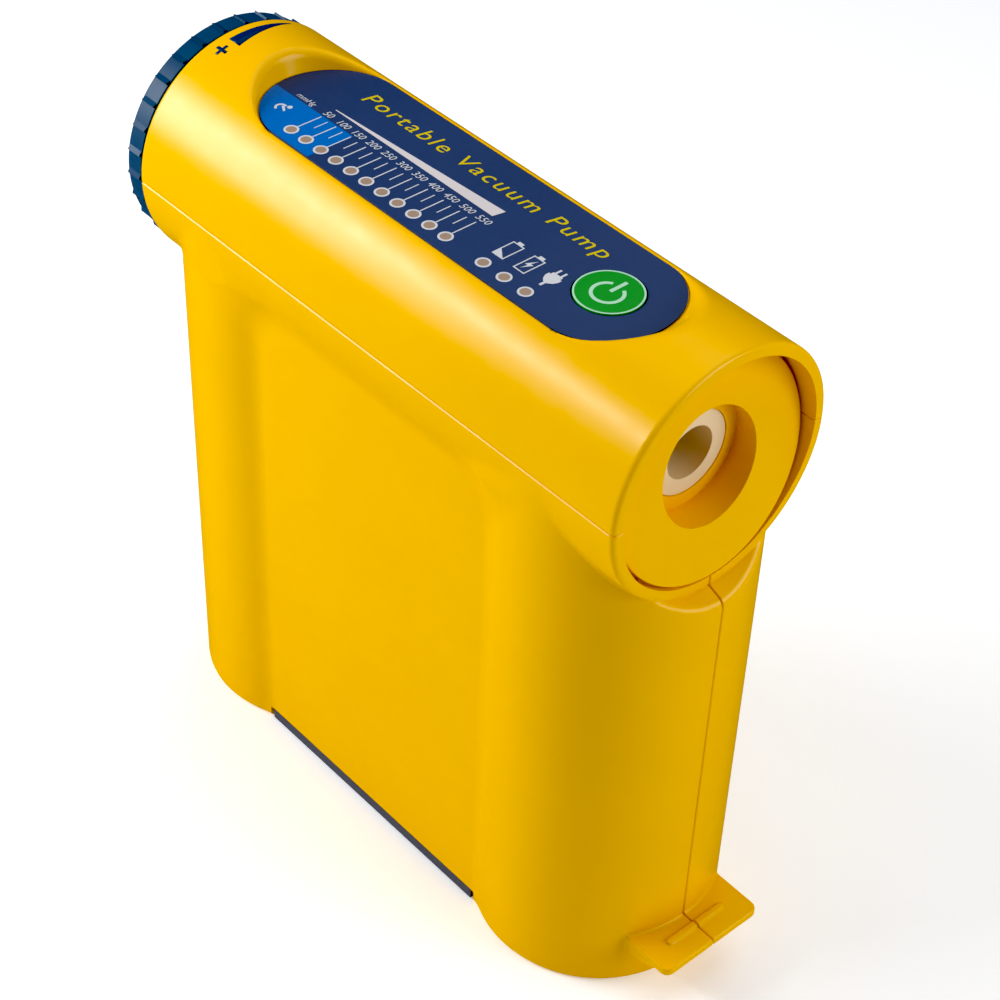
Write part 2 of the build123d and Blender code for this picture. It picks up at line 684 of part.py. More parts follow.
with BuildPart() as regulator_knob:
    with BuildSketch(Plane.YZ.offset(KNOB_BACK)):
        with Locations((0, AXIS_Z)):
            Circle(KNOB_R)
    extrude(amount=KNOB_FRONT - KNOB_BACK)
    fillet(regulator_knob.faces().sort_by(Axis.X)[0].edges(), 1.2)
    chamfer(regulator_knob.faces().sort_by(Axis.X)[-1].edges(), 0.6)
    with BuildSketch(Plane.YZ.offset(KNOB_BACK + 1.2)):
        with Locations((0, AXIS_Z)):
            with PolarLocations(KNOB_R - 0.4, KNOB_RIBS):
                Polygon((0, -1.5), (KNOB_RIB_HEIGHT + 0.4, 0.9), (0, 1.2), align=None)
    extrude(amount=KNOB_FRONT - KNOB_BACK - 2.0)
    with BuildSketch(Plane.YZ.offset(KNOB_BACK)):
        with Locations((0, AXIS_Z)):
            Circle(KNOB_DISH_R)
    extrude(amount=KNOB_DISH_DEPTH, mode=Mode.SUBTRACT)
    with BuildSketch(Plane.YZ.offset(KNOB_BACK + KNOB_FACE)):
        with Locations((0, AXIS_Z)):
            Circle(KNOB_R - 3)
            Circle(KNOB_HUB_R, mode=Mode.SUBTRACT)
    extrude(amount=10, mode=Mode.SUBTRACT)
    with BuildSketch(Plane.YZ.offset(KNOB_BACK)):
        with Locations((0, AXIS_Z)):
            Circle(KNOB_CAP_R + 0.1)
    extrude(amount=3.0, mode=Mode.SUBTRACT)
    with BuildSketch(Plane.YZ.offset(KNOB_BACK)):
        with Locations((0, AXIS_Z)):
            Circle(CLEARANCE_R)
    extrude(amount=10, mode=Mode.SUBTRACT)
    with BuildSketch(Plane.YZ.offset(KNOB_BUSH_BACK)):
        with Locations((0, AXIS_Z)):
            Circle(SPINDLE_R)
    extrude(amount=10, mode=Mode.SUBTRACT)
finish(regulator_knob, "regulator_knob")

with BuildPart() as knob_screw:
    with BuildSketch(Plane.YZ.offset(KNOB_BACK + 3.0)):
        with Locations((0, AXIS_Z)):
            Circle(SCREW_SHANK_R)
    extrude(amount=10)
    with BuildSketch(Plane.YZ.offset(KNOB_BACK + 1.8)):
        with Locations((0, AXIS_Z)):
            Circle(SCREW_HEAD_R)
    extrude(amount=1.2)
finish(knob_screw, "knob_screw")

with BuildPart() as knob_cap:
    with BuildSketch(Plane.YZ.offset(KNOB_BACK + 0.6)):
        with Locations((0, AXIS_Z)):
            Circle(KNOB_CAP_R)
    extrude(amount=2.3)
    fillet(knob_cap.faces().sort_by(Axis.X)[0].edges(), 0.6)
    with BuildSketch(Plane.YZ.offset(KNOB_BACK + 1.6)):
        with Locations((0, AXIS_Z)):
            Circle(4.5)
    extrude(amount=2, mode=Mode.SUBTRACT)
finish(knob_cap, "knob_cap")

with BuildPart() as regulator_spindle:
    with BuildSketch(Plane.YZ.offset(KNOB_BUSH_BACK)):
        with Locations((0, AXIS_Z)):
            Circle(SPINDLE_R)
    extrude(amount=THREAD_BACK - KNOB_BUSH_BACK)
    with BuildSketch(Plane.YZ.offset(THREAD_BACK)):
        with Locations((0, AXIS_Z)):
            Circle(SCREW_THREAD_R)
    extrude(amount=THREAD_LENGTH)
    with BuildSketch(Plane.YZ.offset(KNOB_BUSH_BACK)):
        with Locations((0, AXIS_Z)):
            Circle(SCREW_SHANK_R)
    extrude(amount=10, mode=Mode.SUBTRACT)
finish(regulator_spindle, "regulator_spindle")

with BuildPart() as spring_seat:
    with BuildSketch(Plane.YZ.offset(SPRING_BACK - 4)):
        with Locations((0, AXIS_Z)):
            Circle(REGULATOR_BORE_R - 0.3)
            Circle(SCREW_THREAD_R + RUNNING, mode=Mode.SUBTRACT)
    extrude(amount=4)
finish(spring_seat, "spring_seat")

with BuildPart() as regulator_spring:
    with BuildLine() as coil:
        Helix(
            pitch=SPRING_PITCH,
            height=SPRING_FRONT - SPRING_BACK - 2 * SPRING_WIRE_R - 0.2,
            radius=SPRING_R,
            center=(SPRING_BACK + SPRING_WIRE_R + 0.1, 0, AXIS_Z),
            direction=(1, 0, 0),
        )
    with BuildSketch(Plane(origin=coil.line @ 0, z_dir=coil.line % 0)):
        Circle(SPRING_WIRE_R)
    sweep(is_frenet=True)
finish(regulator_spring, "regulator_spring")

with BuildPart() as relief_poppet:
    with BuildSketch(Plane.YZ.offset(SPRING_FRONT)):
        with Locations((0, AXIS_Z)):
            Circle(POPPET_R)
    extrude(amount=2)
    with BuildSketch(Plane.YZ.offset(SPRING_FRONT + 2)):
        with Locations((0, AXIS_Z)):
            Circle(POPPET_GUIDE_R)
    extrude(amount=2)
    with BuildSketch(Plane.YZ.offset(SPRING_FRONT - 4)):
        with Locations((0, AXIS_Z)):
            Circle(POPPET_GUIDE_R)
    extrude(amount=4)
finish(relief_poppet, "relief_poppet")

with BuildPart() as regulator_body:
    with BuildSketch(Plane.YZ.offset(REGULATOR_BACK)):
        with Locations((0, AXIS_Z)):
            Circle(REGULATOR_R)
    extrude(amount=REGULATOR_FRONT - REGULATOR_BACK)
    with BuildSketch(Plane.YZ.offset(BULKHEAD_BACK - 2)):
        with Locations((0, AXIS_Z)):
            Circle(COLLAR_R)
    extrude(amount=5)
    with BuildSketch(Plane.YZ.offset(REGULATOR_FRONT)):
        with Locations((0, AXIS_Z)):
            Circle(BARB_R)
    extrude(amount=NIPPLE_FRONT - REGULATOR_FRONT)
    with BuildSketch(Plane.YZ.offset(BULKHEAD_BACK - 3)):
        with Locations((0, AXIS_Z)):
            Circle(SPINDLE_R + RUNNING)
    extrude(amount=20, mode=Mode.SUBTRACT)
    with BuildSketch(Plane.YZ.offset(REGULATOR_BORE_BACK)):
        with Locations((0, AXIS_Z)):
            Circle(REGULATOR_BORE_R)
    extrude(amount=SPRING_FRONT + 4 - REGULATOR_BORE_BACK, mode=Mode.SUBTRACT)
    with BuildSketch(Plane.YZ.offset(-80)):
        with Locations((0, AXIS_Z)):
            Circle(BARB_BORE_R)
    extrude(amount=30, mode=Mode.SUBTRACT)
    # Air inlet holes through the wall.
    with BuildSketch(Plane.XY.offset(AXIS_Z - 2 * REGULATOR_R)):
        with Locations(*[(x, 0) for x in AIR_HOLE_XS]):
            Circle(AIR_HOLE_R)
    extrude(amount=4 * REGULATOR_R, mode=Mode.SUBTRACT)
finish(regulator_body, "regulator_body")

with BuildPart() as back_bulkhead:
    with BuildSketch(Plane.YZ.offset(BULKHEAD_BACK)):
        with Locations((0, AXIS_Z)):
            Circle(BARREL_BORE_R - 0.2)
            Circle(COLLAR_R, mode=Mode.SUBTRACT)
    extrude(amount=REGULATOR_BACK - BULKHEAD_BACK)
finish(back_bulkhead, "back_bulkhead")

with BuildPart() as keypad_label:
    add(panel_outline(Plane.XY.offset(PANEL_FLOOR), 0, 0, 0))
    extrude(amount=LABEL_THICK)
    with BuildSketch(Plane.XY.offset(PANEL_FLOOR - 1)):
        with Locations(*light_spots, *status_spots):
            Circle(LENS_R + RUNNING)
        with Locations((BUTTON_X, BUTTON_Y)):
            Circle(BUTTON_R + BUTTON_GAP)
    extrude(amount=3, mode=Mode.SUBTRACT)
finish(keypad_label, "keypad_label")


def lenses(spots):
    """Clear light pipes that stand in the panel, flush with the label."""
    with BuildPart() as group:
        with BuildSketch(Plane.XY.offset(PANEL_UNDER)):
            with Locations(*spots):
                Circle(LENS_R)
        extrude(amount=LABEL_TOP + 0.05 - PANEL_UNDER)
    return group


gauge_lenses = lenses(light_spots)
finish(gauge_lenses, "gauge_lenses")
status_lenses = lenses(status_spots)
finish(status_lenses, "status_lenses")

with BuildPart() as power_button:
    with BuildSketch(Plane.XY.offset(BUTTON_FLANGE_TOP - BUTTON_FLANGE_THICK)):
        with Locations((BUTTON_X, BUTTON_Y)):
            Circle(BUTTON_FLANGE_R)
    extrude(amount=BUTTON_FLANGE_THICK)
    with BuildSketch(Plane.XY.offset(BUTTON_FLANGE_TOP - BUTTON_FLANGE_THICK)):
        with Locations((BUTTON_X, BUTTON_Y)):
            Circle(BUTTON_R)
    extrude(amount=LABEL_TOP + BUTTON_PROUD - BUTTON_FLANGE_TOP + BUTTON_FLANGE_THICK)
    fillet(power_button.faces().sort_by(Axis.Z)[-1].edges(), 0.25)
    with BuildSketch(Plane.XY.offset(DOME_TOP)):
        with Locations((BUTTON_X, BUTTON_Y)):
            Circle(BUTTON_STEM_R)
    extrude(amount=BUTTON_FLANGE_TOP - BUTTON_FLANGE_THICK - DOME_TOP + 0.1)
finish(power_button, "power_button")

with BuildPart() as button_dome:
    with BuildSketch(Plane.XY.offset(BOARD_TOP)):
        with Locations((BUTTON_X, BUTTON_Y)):
            Circle(DOME_R)
    extrude(amount=DOME_TOP - BOARD_TOP, taper=30)
finish(button_dome, "button_dome")

with BuildPart() as leds:
    with BuildSketch(Plane.XY.offset(BOARD_TOP)):
        with Locations(*light_spots, *status_spots):
            Rectangle(3.2, 2.4)
    extrude(amount=LED_BASE)
    with BuildSketch(Plane.XY.offset(BOARD_TOP + LED_BASE)):
        with Locations(*light_spots, *status_spots):
            Circle(1.0)
    extrude(amount=1.0)
finish(leds, "leds")

with BuildPart() as control_board:
    with BuildSketch(Plane.XY.offset(BOARD_BOTTOM)):
        with Locations(((BOARD_BACK + BOARD_FRONT) / 2, 0)):
            RectangleRounded(BOARD_FRONT - BOARD_BACK, 2 * BOARD_HALF, 3)
        with Locations(*board_screw_spots):
            Circle(1.5, mode=Mode.SUBTRACT)
    extrude(amount=BOARD_THICK)
finish(control_board, "control_board")

with BuildPart() as board_parts:
    with BuildSketch(Plane.XY.offset(BOARD_BOTTOM - 2)):
        with Locations((-20, 12)):
            Rectangle(12, 12)
        with Locations((24, -14), (24, 14)):
            Rectangle(8, 5)
    extrude(amount=2)
    with BuildSketch(Plane.XY.offset(BOARD_BOTTOM - CAPACITOR_TALL)):
        with Locations((38, 12), (38, -6)):
            Circle(4)
    extrude(amount=CAPACITOR_TALL)
    with BuildSketch(Plane.XY.offset(BOARD_BOTTOM - HEADER_TALL)):
        with Locations((-50, -20), (-50, 20)):
            Rectangle(34, 6)
    extrude(amount=HEADER_TALL)
finish(board_parts, "board_parts")

with BuildPart() as board_screws:
    with BuildSketch(Plane.XY.offset(BOARD_BOTTOM - 1.6)):
        with Locations(*board_screw_spots):
            Circle(2.4)
    extrude(amount=1.6)
    with BuildSketch(Plane.XY.offset(BOARD_BOTTOM)):
        with Locations(*board_screw_spots):
            Circle(1.05)
    extrude(amount=5)
finish(board_screws, "board_screws")

with BuildPart() as battery_door:
    with BuildSketch(Plane.XY.offset(DOOR_BOTTOM)):
        with Locations(((DOOR_BACK + DOOR_FRONT) / 2, 0)):
            Rectangle(DOOR_FRONT - DOOR_BACK - 2 * DOOR_GAP, 2 * SLAB_HALF)
    extrude(amount=DOOR_TOP - DOOR_BOTTOM)
    with BuildSketch(Plane.XY.offset(TONGUE_LOW)):
        with Locations(((DOOR_BACK + DOOR_FRONT) / 2, 1)):
            Rectangle(DOOR_FRONT - DOOR_BACK - 2 * DOOR_GAP + 2 * TONGUE, 2 * SLAB_HALF - 4)
    extrude(amount=TONGUE_HIGH - TONGUE_LOW)
    # Finger grooves on the underside, near the edge that leads the slide.
    with BuildSketch(Plane.XY.offset(DOOR_BOTTOM)):
        with Locations((MID_X, 22)):
            with GridLocations(0, 5, 1, 4):
                SlotOverall(40, 2)
    extrude(amount=1, mode=Mode.SUBTRACT)
finish(battery_door, "battery_door")

with BuildPart() as battery_cells:
    with BuildSketch(Plane.XY.offset(CELL_BOTTOM)):
        with Locations((MID_X, 0)):
            with GridLocations(CELL_PITCH, CELL_PITCH, CELL_ROWS, 2):
                Circle(CELL_R)
    extrude(amount=CELL_LENGTH)
finish(battery_cells, "battery_cells")

with BuildPart() as battery_wrap:
    with BuildSketch(Plane.XY.offset(CELL_BOTTOM - 1.5)):
        with Locations((MID_X, 0)):
            RectangleRounded(CELL_ROWS * CELL_PITCH + 0.6, 2 * CELL_PITCH + 0.6, 8.6)
            RectangleRounded(CELL_ROWS * CELL_PITCH - 0.2, 2 * CELL_PITCH - 0.2, 8.3, mode=Mode.SUBTRACT)
    extrude(amount=CELL_LENGTH + 3)
finish(battery_wrap, "battery_wrap")

with BuildPart() as battery_links:
    with BuildSketch(Plane.XY.offset(CELL_TOP)):
        with Locations((MID_X, 0)):
            with GridLocations(CELL_PITCH, 0, CELL_ROWS, 1):
                Rectangle(6, CELL_PITCH + 8)
    extrude(amount=LINK_THICK)
    with BuildSketch(Plane.XY.offset(CELL_BOTTOM - LINK_THICK)):
        with Locations((MID_X, 0)):
            with GridLocations(2 * CELL_PITCH, CELL_PITCH, 2, 2):
                Rectangle(CELL_PITCH + 8, 6)
    extrude(amount=LINK_THICK)
finish(battery_links, "battery_links")

with BuildPart() as battery_contacts:
    for x in (MID_X - 30, MID_X + 30):
        with BuildSketch(Plane.XZ.offset(-4)):
            with BuildLine():
                Polyline(
                    (x - 8, DECK_BOTTOM),
                    (x - 8, DECK_BOTTOM - 0.6),
                    (x + 4, DECK_BOTTOM - 0.6),
                    (x - 2, CELL_TOP + 2),
                    (x + 1, CELL_TOP + 2),
                    (x + 6, DECK_BOTTOM),
                    close=True,
                )
            make_face()
        extrude(amount=8)
finish(battery_contacts, "battery_contacts")

with BuildPart() as chassis:
    with BuildSketch(Plane.XY.offset(DECK_BOTTOM)):
        with Locations(((CHASSIS_BACK + CHASSIS_FRONT) / 2, 0)):
            Rectangle(CHASSIS_FRONT - CHASSIS_BACK, 2 * CHASSIS_HALF)
    extrude(amount=DECK_TOP - DECK_BOTTOM)
    with BuildSketch(Plane.XY.offset(RAIL_TOP + 0.2)):
        with Locations((CHASSIS_BACK + WALL / 2, 0), (CHASSIS_FRONT - WALL / 2, 0)):
            Rectangle(WALL, 2 * CHASSIS_HALF)
    extrude(amount=DECK_BOTTOM - RAIL_TOP)
finish(chassis, "chassis")

mount_spots = [(x, y) for x in (-44.0, 36.0) for y in (-18.0, 18.0)]
with BuildPart() as pump_mounts:
    with BuildSketch(Plane.XY.offset(DECK_TOP)):
        with Locations(*mount_spots):
            Circle(MOUNT_R)
            Circle(MOUNT_HOLE_R, mode=Mode.SUBTRACT)
    extrude(amount=BRACKET_BOTTOM - DECK_TOP)
finish(pump_mounts, "pump_mounts")

with BuildPart() as pump_bracket:
    with BuildSketch(Plane.XY.offset(BRACKET_BOTTOM)):
        with Locations(((MOTOR_BACK + FRAME_FRONT) / 2, 0)):
            RectangleRounded(FRAME_FRONT - MOTOR_BACK, 2 * FRAME_HALF + 2, 3)
        with Locations(*mount_spots):
            Circle(MOUNT_HOLE_R, mode=Mode.SUBTRACT)
    extrude(amount=BRACKET_TOP - BRACKET_BOTTOM)
    with BuildSketch(Plane.XY.offset(BRACKET_TOP)):
        with Locations((-42, 0), (-14, 0)):
            Rectangle(8, 30)
    extrude(amount=10)
    with BuildSketch(Plane.YZ.offset(MOTOR_BACK - 1)):
        with Locations((0, MOTOR_Z)):
            Circle(MOTOR_R)
    extrude(amount=FRAME_BACK - MOTOR_BACK + 1, mode=Mode.SUBTRACT)
finish(pump_bracket, "pump_bracket")

with BuildPart() as motor_can:
    with BuildSketch(Plane.YZ.offset(MOTOR_BACK)):
        with Locations((0, MOTOR_Z)):
            Circle(MOTOR_R)
    extrude(amount=FRAME_BACK - MOTOR_BACK)
    with BuildSketch(Plane.YZ.offset(MOTOR_BACK)):
        with Locations((0, MOTOR_Z)):
            Circle(MOTOR_R - MOTOR_CAN_THICK)
    extrude(amount=FRAME_BACK - MOTOR_BACK - 2, mode=Mode.SUBTRACT)
    with BuildSketch(Plane.YZ.offset(MOTOR_BACK)):
        with Locations((0, MOTOR_Z)):
            Circle(FRONT_BEARING_R)
    extrude(amount=FRAME_BACK - MOTOR_BACK + 1, mode=Mode.SUBTRACT)
finish(motor_can, "motor_can")

with BuildPart() as motor_magnets:
    with BuildSketch(Plane.YZ.offset(MOTOR_BACK + 8)):
        with Locations((0, MOTOR_Z)):
            Circle(MOTOR_R - MOTOR_CAN_THICK)
            Circle(MAGNET_R, mode=Mode.SUBTRACT)
            Rectangle(50, 9, mode=Mode.SUBTRACT)
    extrude(amount=38)
finish(motor_magnets, "motor_magnets")

with BuildPart() as motor_end_bell:
    with BuildSketch(Plane.YZ.offset(MOTOR_BACK - END_BELL_THICK)):
        with Locations((0, MOTOR_Z)):
            Circle(MOTOR_R)
    extrude(amount=END_BELL_THICK)
    with BuildSketch(Plane.YZ.offset(MOTOR_BACK - END_BELL_THICK)):
        with Locations((0, MOTOR_Z)):
            Circle(REAR_BEARING_R)
    extrude(amount=END_BELL_THICK, mode=Mode.SUBTRACT)
    with BuildSketch(Plane.YZ.offset(MOTOR_BACK - END_BELL_THICK - TERMINAL_LENGTH)):
        with Locations((-TERMINAL_Y, MOTOR_Z + TERMINAL_RISE), (TERMINAL_Y, MOTOR_Z + TERMINAL_RISE)):
            Rectangle(1, 5)
    extrude(amount=TERMINAL_LENGTH)
finish(motor_end_bell, "motor_end_bell")

with BuildPart() as motor_bearings:
    with BuildSketch(Plane.YZ.offset(MOTOR_BACK - END_BELL_THICK)):
        with Locations((0, MOTOR_Z)):
            Circle(REAR_BEARING_R)
            Circle(SHAFT_R + RUNNING, mode=Mode.SUBTRACT)
    extrude(amount=END_BELL_THICK)
    with BuildSketch(Plane.YZ.offset(FRAME_BACK - 2)):
        with Locations((0, MOTOR_Z)):
            Circle(FRONT_BEARING_R)
            Circle(SHAFT_R + RUNNING, mode=Mode.SUBTRACT)
    extrude(amount=5)
finish(motor_bearings, "motor_bearings")

with BuildPart() as motor_shaft:
    with BuildSketch(Plane.YZ.offset(MOTOR_BACK - 5)):
        with Locations((0, MOTOR_Z)):
            Circle(SHAFT_R)
    extrude(amount=CRANK_X + 8 - MOTOR_BACK + 5)
finish(motor_shaft, "motor_shaft")

with BuildPart() as motor_rotor:
    with BuildSketch(Plane.YZ.offset(MOTOR_BACK + 10)):
        with Locations((0, MOTOR_Z)):
            Circle(ROTOR_R)
            with PolarLocations(ROTOR_R, 5):
                Rectangle(6, 2, mode=Mode.SUBTRACT)
            Circle(SHAFT_R, mode=Mode.SUBTRACT)
    extrude(amount=34)
    with BuildSketch(Plane.YZ.offset(MOTOR_BACK + 2)):
        with Locations((0, MOTOR_Z)):
            Circle(5)
            Circle(SHAFT_R, mode=Mode.SUBTRACT)
    extrude(amount=9)
finish(motor_rotor, "motor_rotor")

PIN_BACK = CRANK_X - 4.5
PIN_FRONT = CRANK_X + 3.5
with BuildPart() as eccentric:
    with BuildSketch(Plane.YZ.offset(PIN_BACK - COUNTERWEIGHT_THICK)):
        with Locations((0, MOTOR_Z)):
            Circle(COUNTERWEIGHT_R)
            with Locations((0, COUNTERWEIGHT_R)):
                Rectangle(2 * COUNTERWEIGHT_R + 10, 2 * COUNTERWEIGHT_R, mode=Mode.SUBTRACT)
            Circle(7)
    extrude(amount=COUNTERWEIGHT_THICK)
    with BuildSketch(Plane.YZ.offset(PIN_BACK)):
        with Locations((0, MOTOR_Z + CRANK_THROW)):
            Circle(PIN_R)
    extrude(amount=PIN_FRONT - PIN_BACK)
    with BuildSketch(Plane.YZ.offset(PIN_BACK - COUNTERWEIGHT_THICK)):
        with Locations((0, MOTOR_Z)):
            Circle(SHAFT_R)
    extrude(amount=20, mode=Mode.SUBTRACT)
finish(eccentric, "eccentric")

ROD_BACK = CRANK_X - ROD_THICK / 2
with BuildPart() as rod_bearing:
    with BuildSketch(Plane.YZ.offset(CRANK_X - 2.5)):
        with Locations((0, MOTOR_Z + CRANK_THROW)):
            Circle(ROD_BEARING_R)
            Circle(PIN_R, mode=Mode.SUBTRACT)
    extrude(amount=5)
finish(rod_bearing, "rod_bearing")

ROD_PLATE_TOP = FRAME_TOP + CRANK_THROW
with BuildPart() as connecting_rod:
    with BuildSketch(Plane.YZ.offset(ROD_BACK)):
        with Locations((0, MOTOR_Z + CRANK_THROW)):
            Circle(ROD_EYE_R)
        with Locations((0, (MOTOR_Z + ROD_PLATE_TOP) / 2)):
            Rectangle(8, ROD_PLATE_TOP - MOTOR_Z - 2)
        with Locations((0, MOTOR_Z + CRANK_THROW)):
            Circle(ROD_BEARING_R + RUNNING, mode=Mode.SUBTRACT)
    extrude(amount=ROD_THICK)
    with BuildSketch(Plane.XY.offset(ROD_PLATE_TOP - ROD_PLATE_THICK)):
        with Locations((CRANK_X, 0)):
            Circle(ROD_PLATE_R)
    extrude(amount=ROD_PLATE_THICK)
    with BuildSketch(Plane.XY.offset(ROD_PLATE_TOP - CLAMP_SCREW_DEPTH)):
        with Locations((CRANK_X, 0)):
            Circle(PILOT_R)
    extrude(amount=CLAMP_SCREW_DEPTH, mode=Mode.SUBTRACT)
finish(connecting_rod, "connecting_rod")

CLAMP_BOTTOM = ROD_PLATE_TOP + DIAPHRAGM_THICK
with BuildPart() as clamp_plate:
    with BuildSketch(Plane.XY.offset(CLAMP_BOTTOM)):
        with Locations((CRANK_X, 0)):
            Circle(9)
            Circle(CLEARANCE_R, mode=Mode.SUBTRACT)
    extrude(amount=CLAMP_THICK)
finish(clamp_plate, "clamp_plate")

with BuildPart() as clamp_screw:
    with BuildSketch(Plane.XY.offset(ROD_PLATE_TOP - CLAMP_SCREW_DEPTH)):
        with Locations((CRANK_X, 0)):
            Circle(PILOT_R)
    extrude(amount=CLAMP_SCREW_DEPTH + DIAPHRAGM_THICK + CLAMP_THICK)
    with BuildSketch(Plane.XY.offset(CLAMP_BOTTOM + CLAMP_THICK)):
        with Locations((CRANK_X, 0)):
            Circle(3)
    extrude(amount=0.8)
finish(clamp_screw, "clamp_screw")

with BuildPart() as diaphragm:
    with BuildSketch(Plane.XZ):
        with BuildLine():
            Polyline(
                (CRANK_X + CLEARANCE_R, ROD_PLATE_TOP),
                (CRANK_X + FLEX_R, ROD_PLATE_TOP),
                (CRANK_X + CHAMBER_R, FRAME_TOP),
                (CRANK_X + DIAPHRAGM_R, FRAME_TOP),
                (CRANK_X + DIAPHRAGM_R, HEAD_BOTTOM),
                (CRANK_X + CHAMBER_R, HEAD_BOTTOM),
                (CRANK_X + FLEX_R, CLAMP_BOTTOM),
                (CRANK_X + CLEARANCE_R, CLAMP_BOTTOM),
                close=True,
            )
        make_face()
    revolve(axis=Axis((CRANK_X, 0, 0), (0, 0, 1)))
finish(diaphragm, "diaphragm")

head_half_pitch = HEAD_SCREW_PITCH / 2
head_grid = [(CRANK_X + sx * head_half_pitch, sy * head_half_pitch) for sx in (-1, 1) for sy in (-1, 1)]
with BuildPart() as pump_frame:
    with BuildSketch(Plane.XY.offset(BRACKET_TOP)):
        with Locations(((FRAME_BACK + FRAME_FRONT) / 2, 0)):
            Rectangle(FRAME_FRONT - FRAME_BACK, 2 * FRAME_HALF)
    extrude(amount=FRAME_TOP - BRACKET_TOP)
    with BuildSketch(Plane.YZ.offset(FRAME_BACK + 3)):
        with Locations((0, 94)):
            Rectangle(38, 34)
    extrude(amount=FRAME_FRONT - FRAME_BACK, mode=Mode.SUBTRACT)
    with BuildSketch(Plane.XY.offset(MOTOR_Z)):
        with Locations((CRANK_X, 0)):
            Circle(CHAMBER_R)
    extrude(amount=FRAME_TOP - MOTOR_Z, mode=Mode.SUBTRACT)
    with BuildSketch(Plane.YZ.offset(FRAME_BACK)):
        with Locations((0, MOTOR_Z)):
            Circle(FRONT_BEARING_R)
    extrude(amount=5, mode=Mode.SUBTRACT)
    with BuildSketch(Plane.XY.offset(FRAME_TOP - 5)):
        with Locations(*head_grid):
            Circle(PILOT_R)
    extrude(amount=5, mode=Mode.SUBTRACT)
finish(pump_frame, "pump_frame")

with BuildPart() as crankcase_cover:
    with BuildSketch(Plane.YZ.offset(FRAME_FRONT)):
        with Locations((0, (BRACKET_TOP + FRAME_TOP) / 2)):
            RectangleRounded(2 * FRAME_HALF, FRAME_TOP - BRACKET_TOP, 2)
    extrude(amount=2)
finish(crankcase_cover, "crankcase_cover")

with BuildPart() as pump_head:
    with BuildSketch(Plane.XY.offset(HEAD_BOTTOM)):
        with Locations((CRANK_X, 0)):
            RectangleRounded(2 * HEAD_HALF, 2 * HEAD_HALF, 3)
    extrude(amount=HEAD_TOP - HEAD_BOTTOM)
    with BuildSketch(Plane.XY.offset(HEAD_BOTTOM)):
        with Locations((CRANK_X, 0)):
            Circle(CHAMBER_R)
    extrude(amount=4.6, mode=Mode.SUBTRACT)
    with BuildSketch(Plane.XY.offset(HEAD_BOTTOM)):
        with Locations((CRANK_X, -BARB_Y), (CRANK_X, BARB_Y)):
            Circle(2)
        with Locations(*head_grid):
            Circle(CLEARANCE_R)
    extrude(amount=12, mode=Mode.SUBTRACT)
    with BuildSketch(Plane.XY.offset(HEAD_TOP - 1)):
        with Locations((CRANK_X, -BARB_Y), (CRANK_X, BARB_Y)):
            Circle(VALVE_SEAT_R)
    extrude(amount=1, mode=Mode.SUBTRACT)
finish(pump_head, "pump_head")

with BuildPart() as valve_flaps:
    with BuildSketch(Plane.XY.offset(HEAD_TOP - 1)):
        with Locations((CRANK_X, -BARB_Y), (CRANK_X, BARB_Y)):
            Circle(VALVE_SEAT_R - 0.2)
    extrude(amount=0.8)
finish(valve_flaps, "valve_flaps")

with BuildPart() as head_cover:
    with BuildSketch(Plane.XY.offset(HEAD_TOP)):
        with Locations((CRANK_X, 0)):
            RectangleRounded(2 * HEAD_HALF, 2 * HEAD_HALF, 3)
    extrude(amount=COVER_TOP - HEAD_TOP)
    with BuildSketch(Plane.XY.offset(HEAD_TOP)):
        with Locations((CRANK_X, -BARB_Y), (CRANK_X, BARB_Y)):
            Rectangle(26, 14)
    extrude(amount=7, mode=Mode.SUBTRACT)
    with BuildSketch(Plane.XY.offset(COVER_TOP)):
        with Locations((INLET_BARB_X, -BARB_Y)):
            Circle(BARB_R)
    extrude(amount=12)
    with BuildSketch(Plane.YZ.offset(FRAME_BACK - BARB_LENGTH)):
        with Locations((BARB_Y, MUFFLER_Z)):
            Circle(BARB_R)
    extrude(amount=BARB_LENGTH + 1)
    with BuildSketch(Plane.XY.offset(HEAD_TOP + 2)):
        with Locations((INLET_BARB_X, -BARB_Y)):
            Circle(BARB_BORE_R)
    extrude(amount=25, mode=Mode.SUBTRACT)
    with BuildSketch(Plane.YZ.offset(FRAME_BACK - BARB_LENGTH)):
        with Locations((BARB_Y, MUFFLER_Z)):
            Circle(BARB_BORE_R)
    extrude(amount=25, mode=Mode.SUBTRACT)
    with BuildSketch(Plane.XY.offset(HEAD_TOP)):
        with Locations(*head_grid):
            Circle(CLEARANCE_R)
    extrude(amount=12, mode=Mode.SUBTRACT)
finish(head_cover, "head_cover")

with BuildPart() as head_screws:
    with BuildSketch(Plane.XY.offset(FRAME_TOP - 5)):
        with Locations(*head_grid):
            Circle(PILOT_R)
    extrude(amount=COVER_TOP - FRAME_TOP + 5)
    with BuildSketch(Plane.XY.offset(COVER_TOP)):
        with Locations(*head_grid):
            Circle(2.8)
            RegularPolygon(1.3, 6, mode=Mode.SUBTRACT)
    extrude(amount=2.2)
finish(head_screws, "head_screws")

MUFFLER_FRONT = -14.0
MUFFLER_BACK = -46.0
with BuildPart() as exhaust_hose:
    with BuildSketch(Plane.YZ.offset(MUFFLER_FRONT + 0.5)):
        with Locations((BARB_Y, MUFFLER_Z)):
            Circle(HOSE_R)
            Circle(HOSE_BORE_R, mode=Mode.SUBTRACT)
    extrude(amount=FRAME_BACK - 1 - MUFFLER_FRONT)
finish(exhaust_hose, "exhaust_hose")

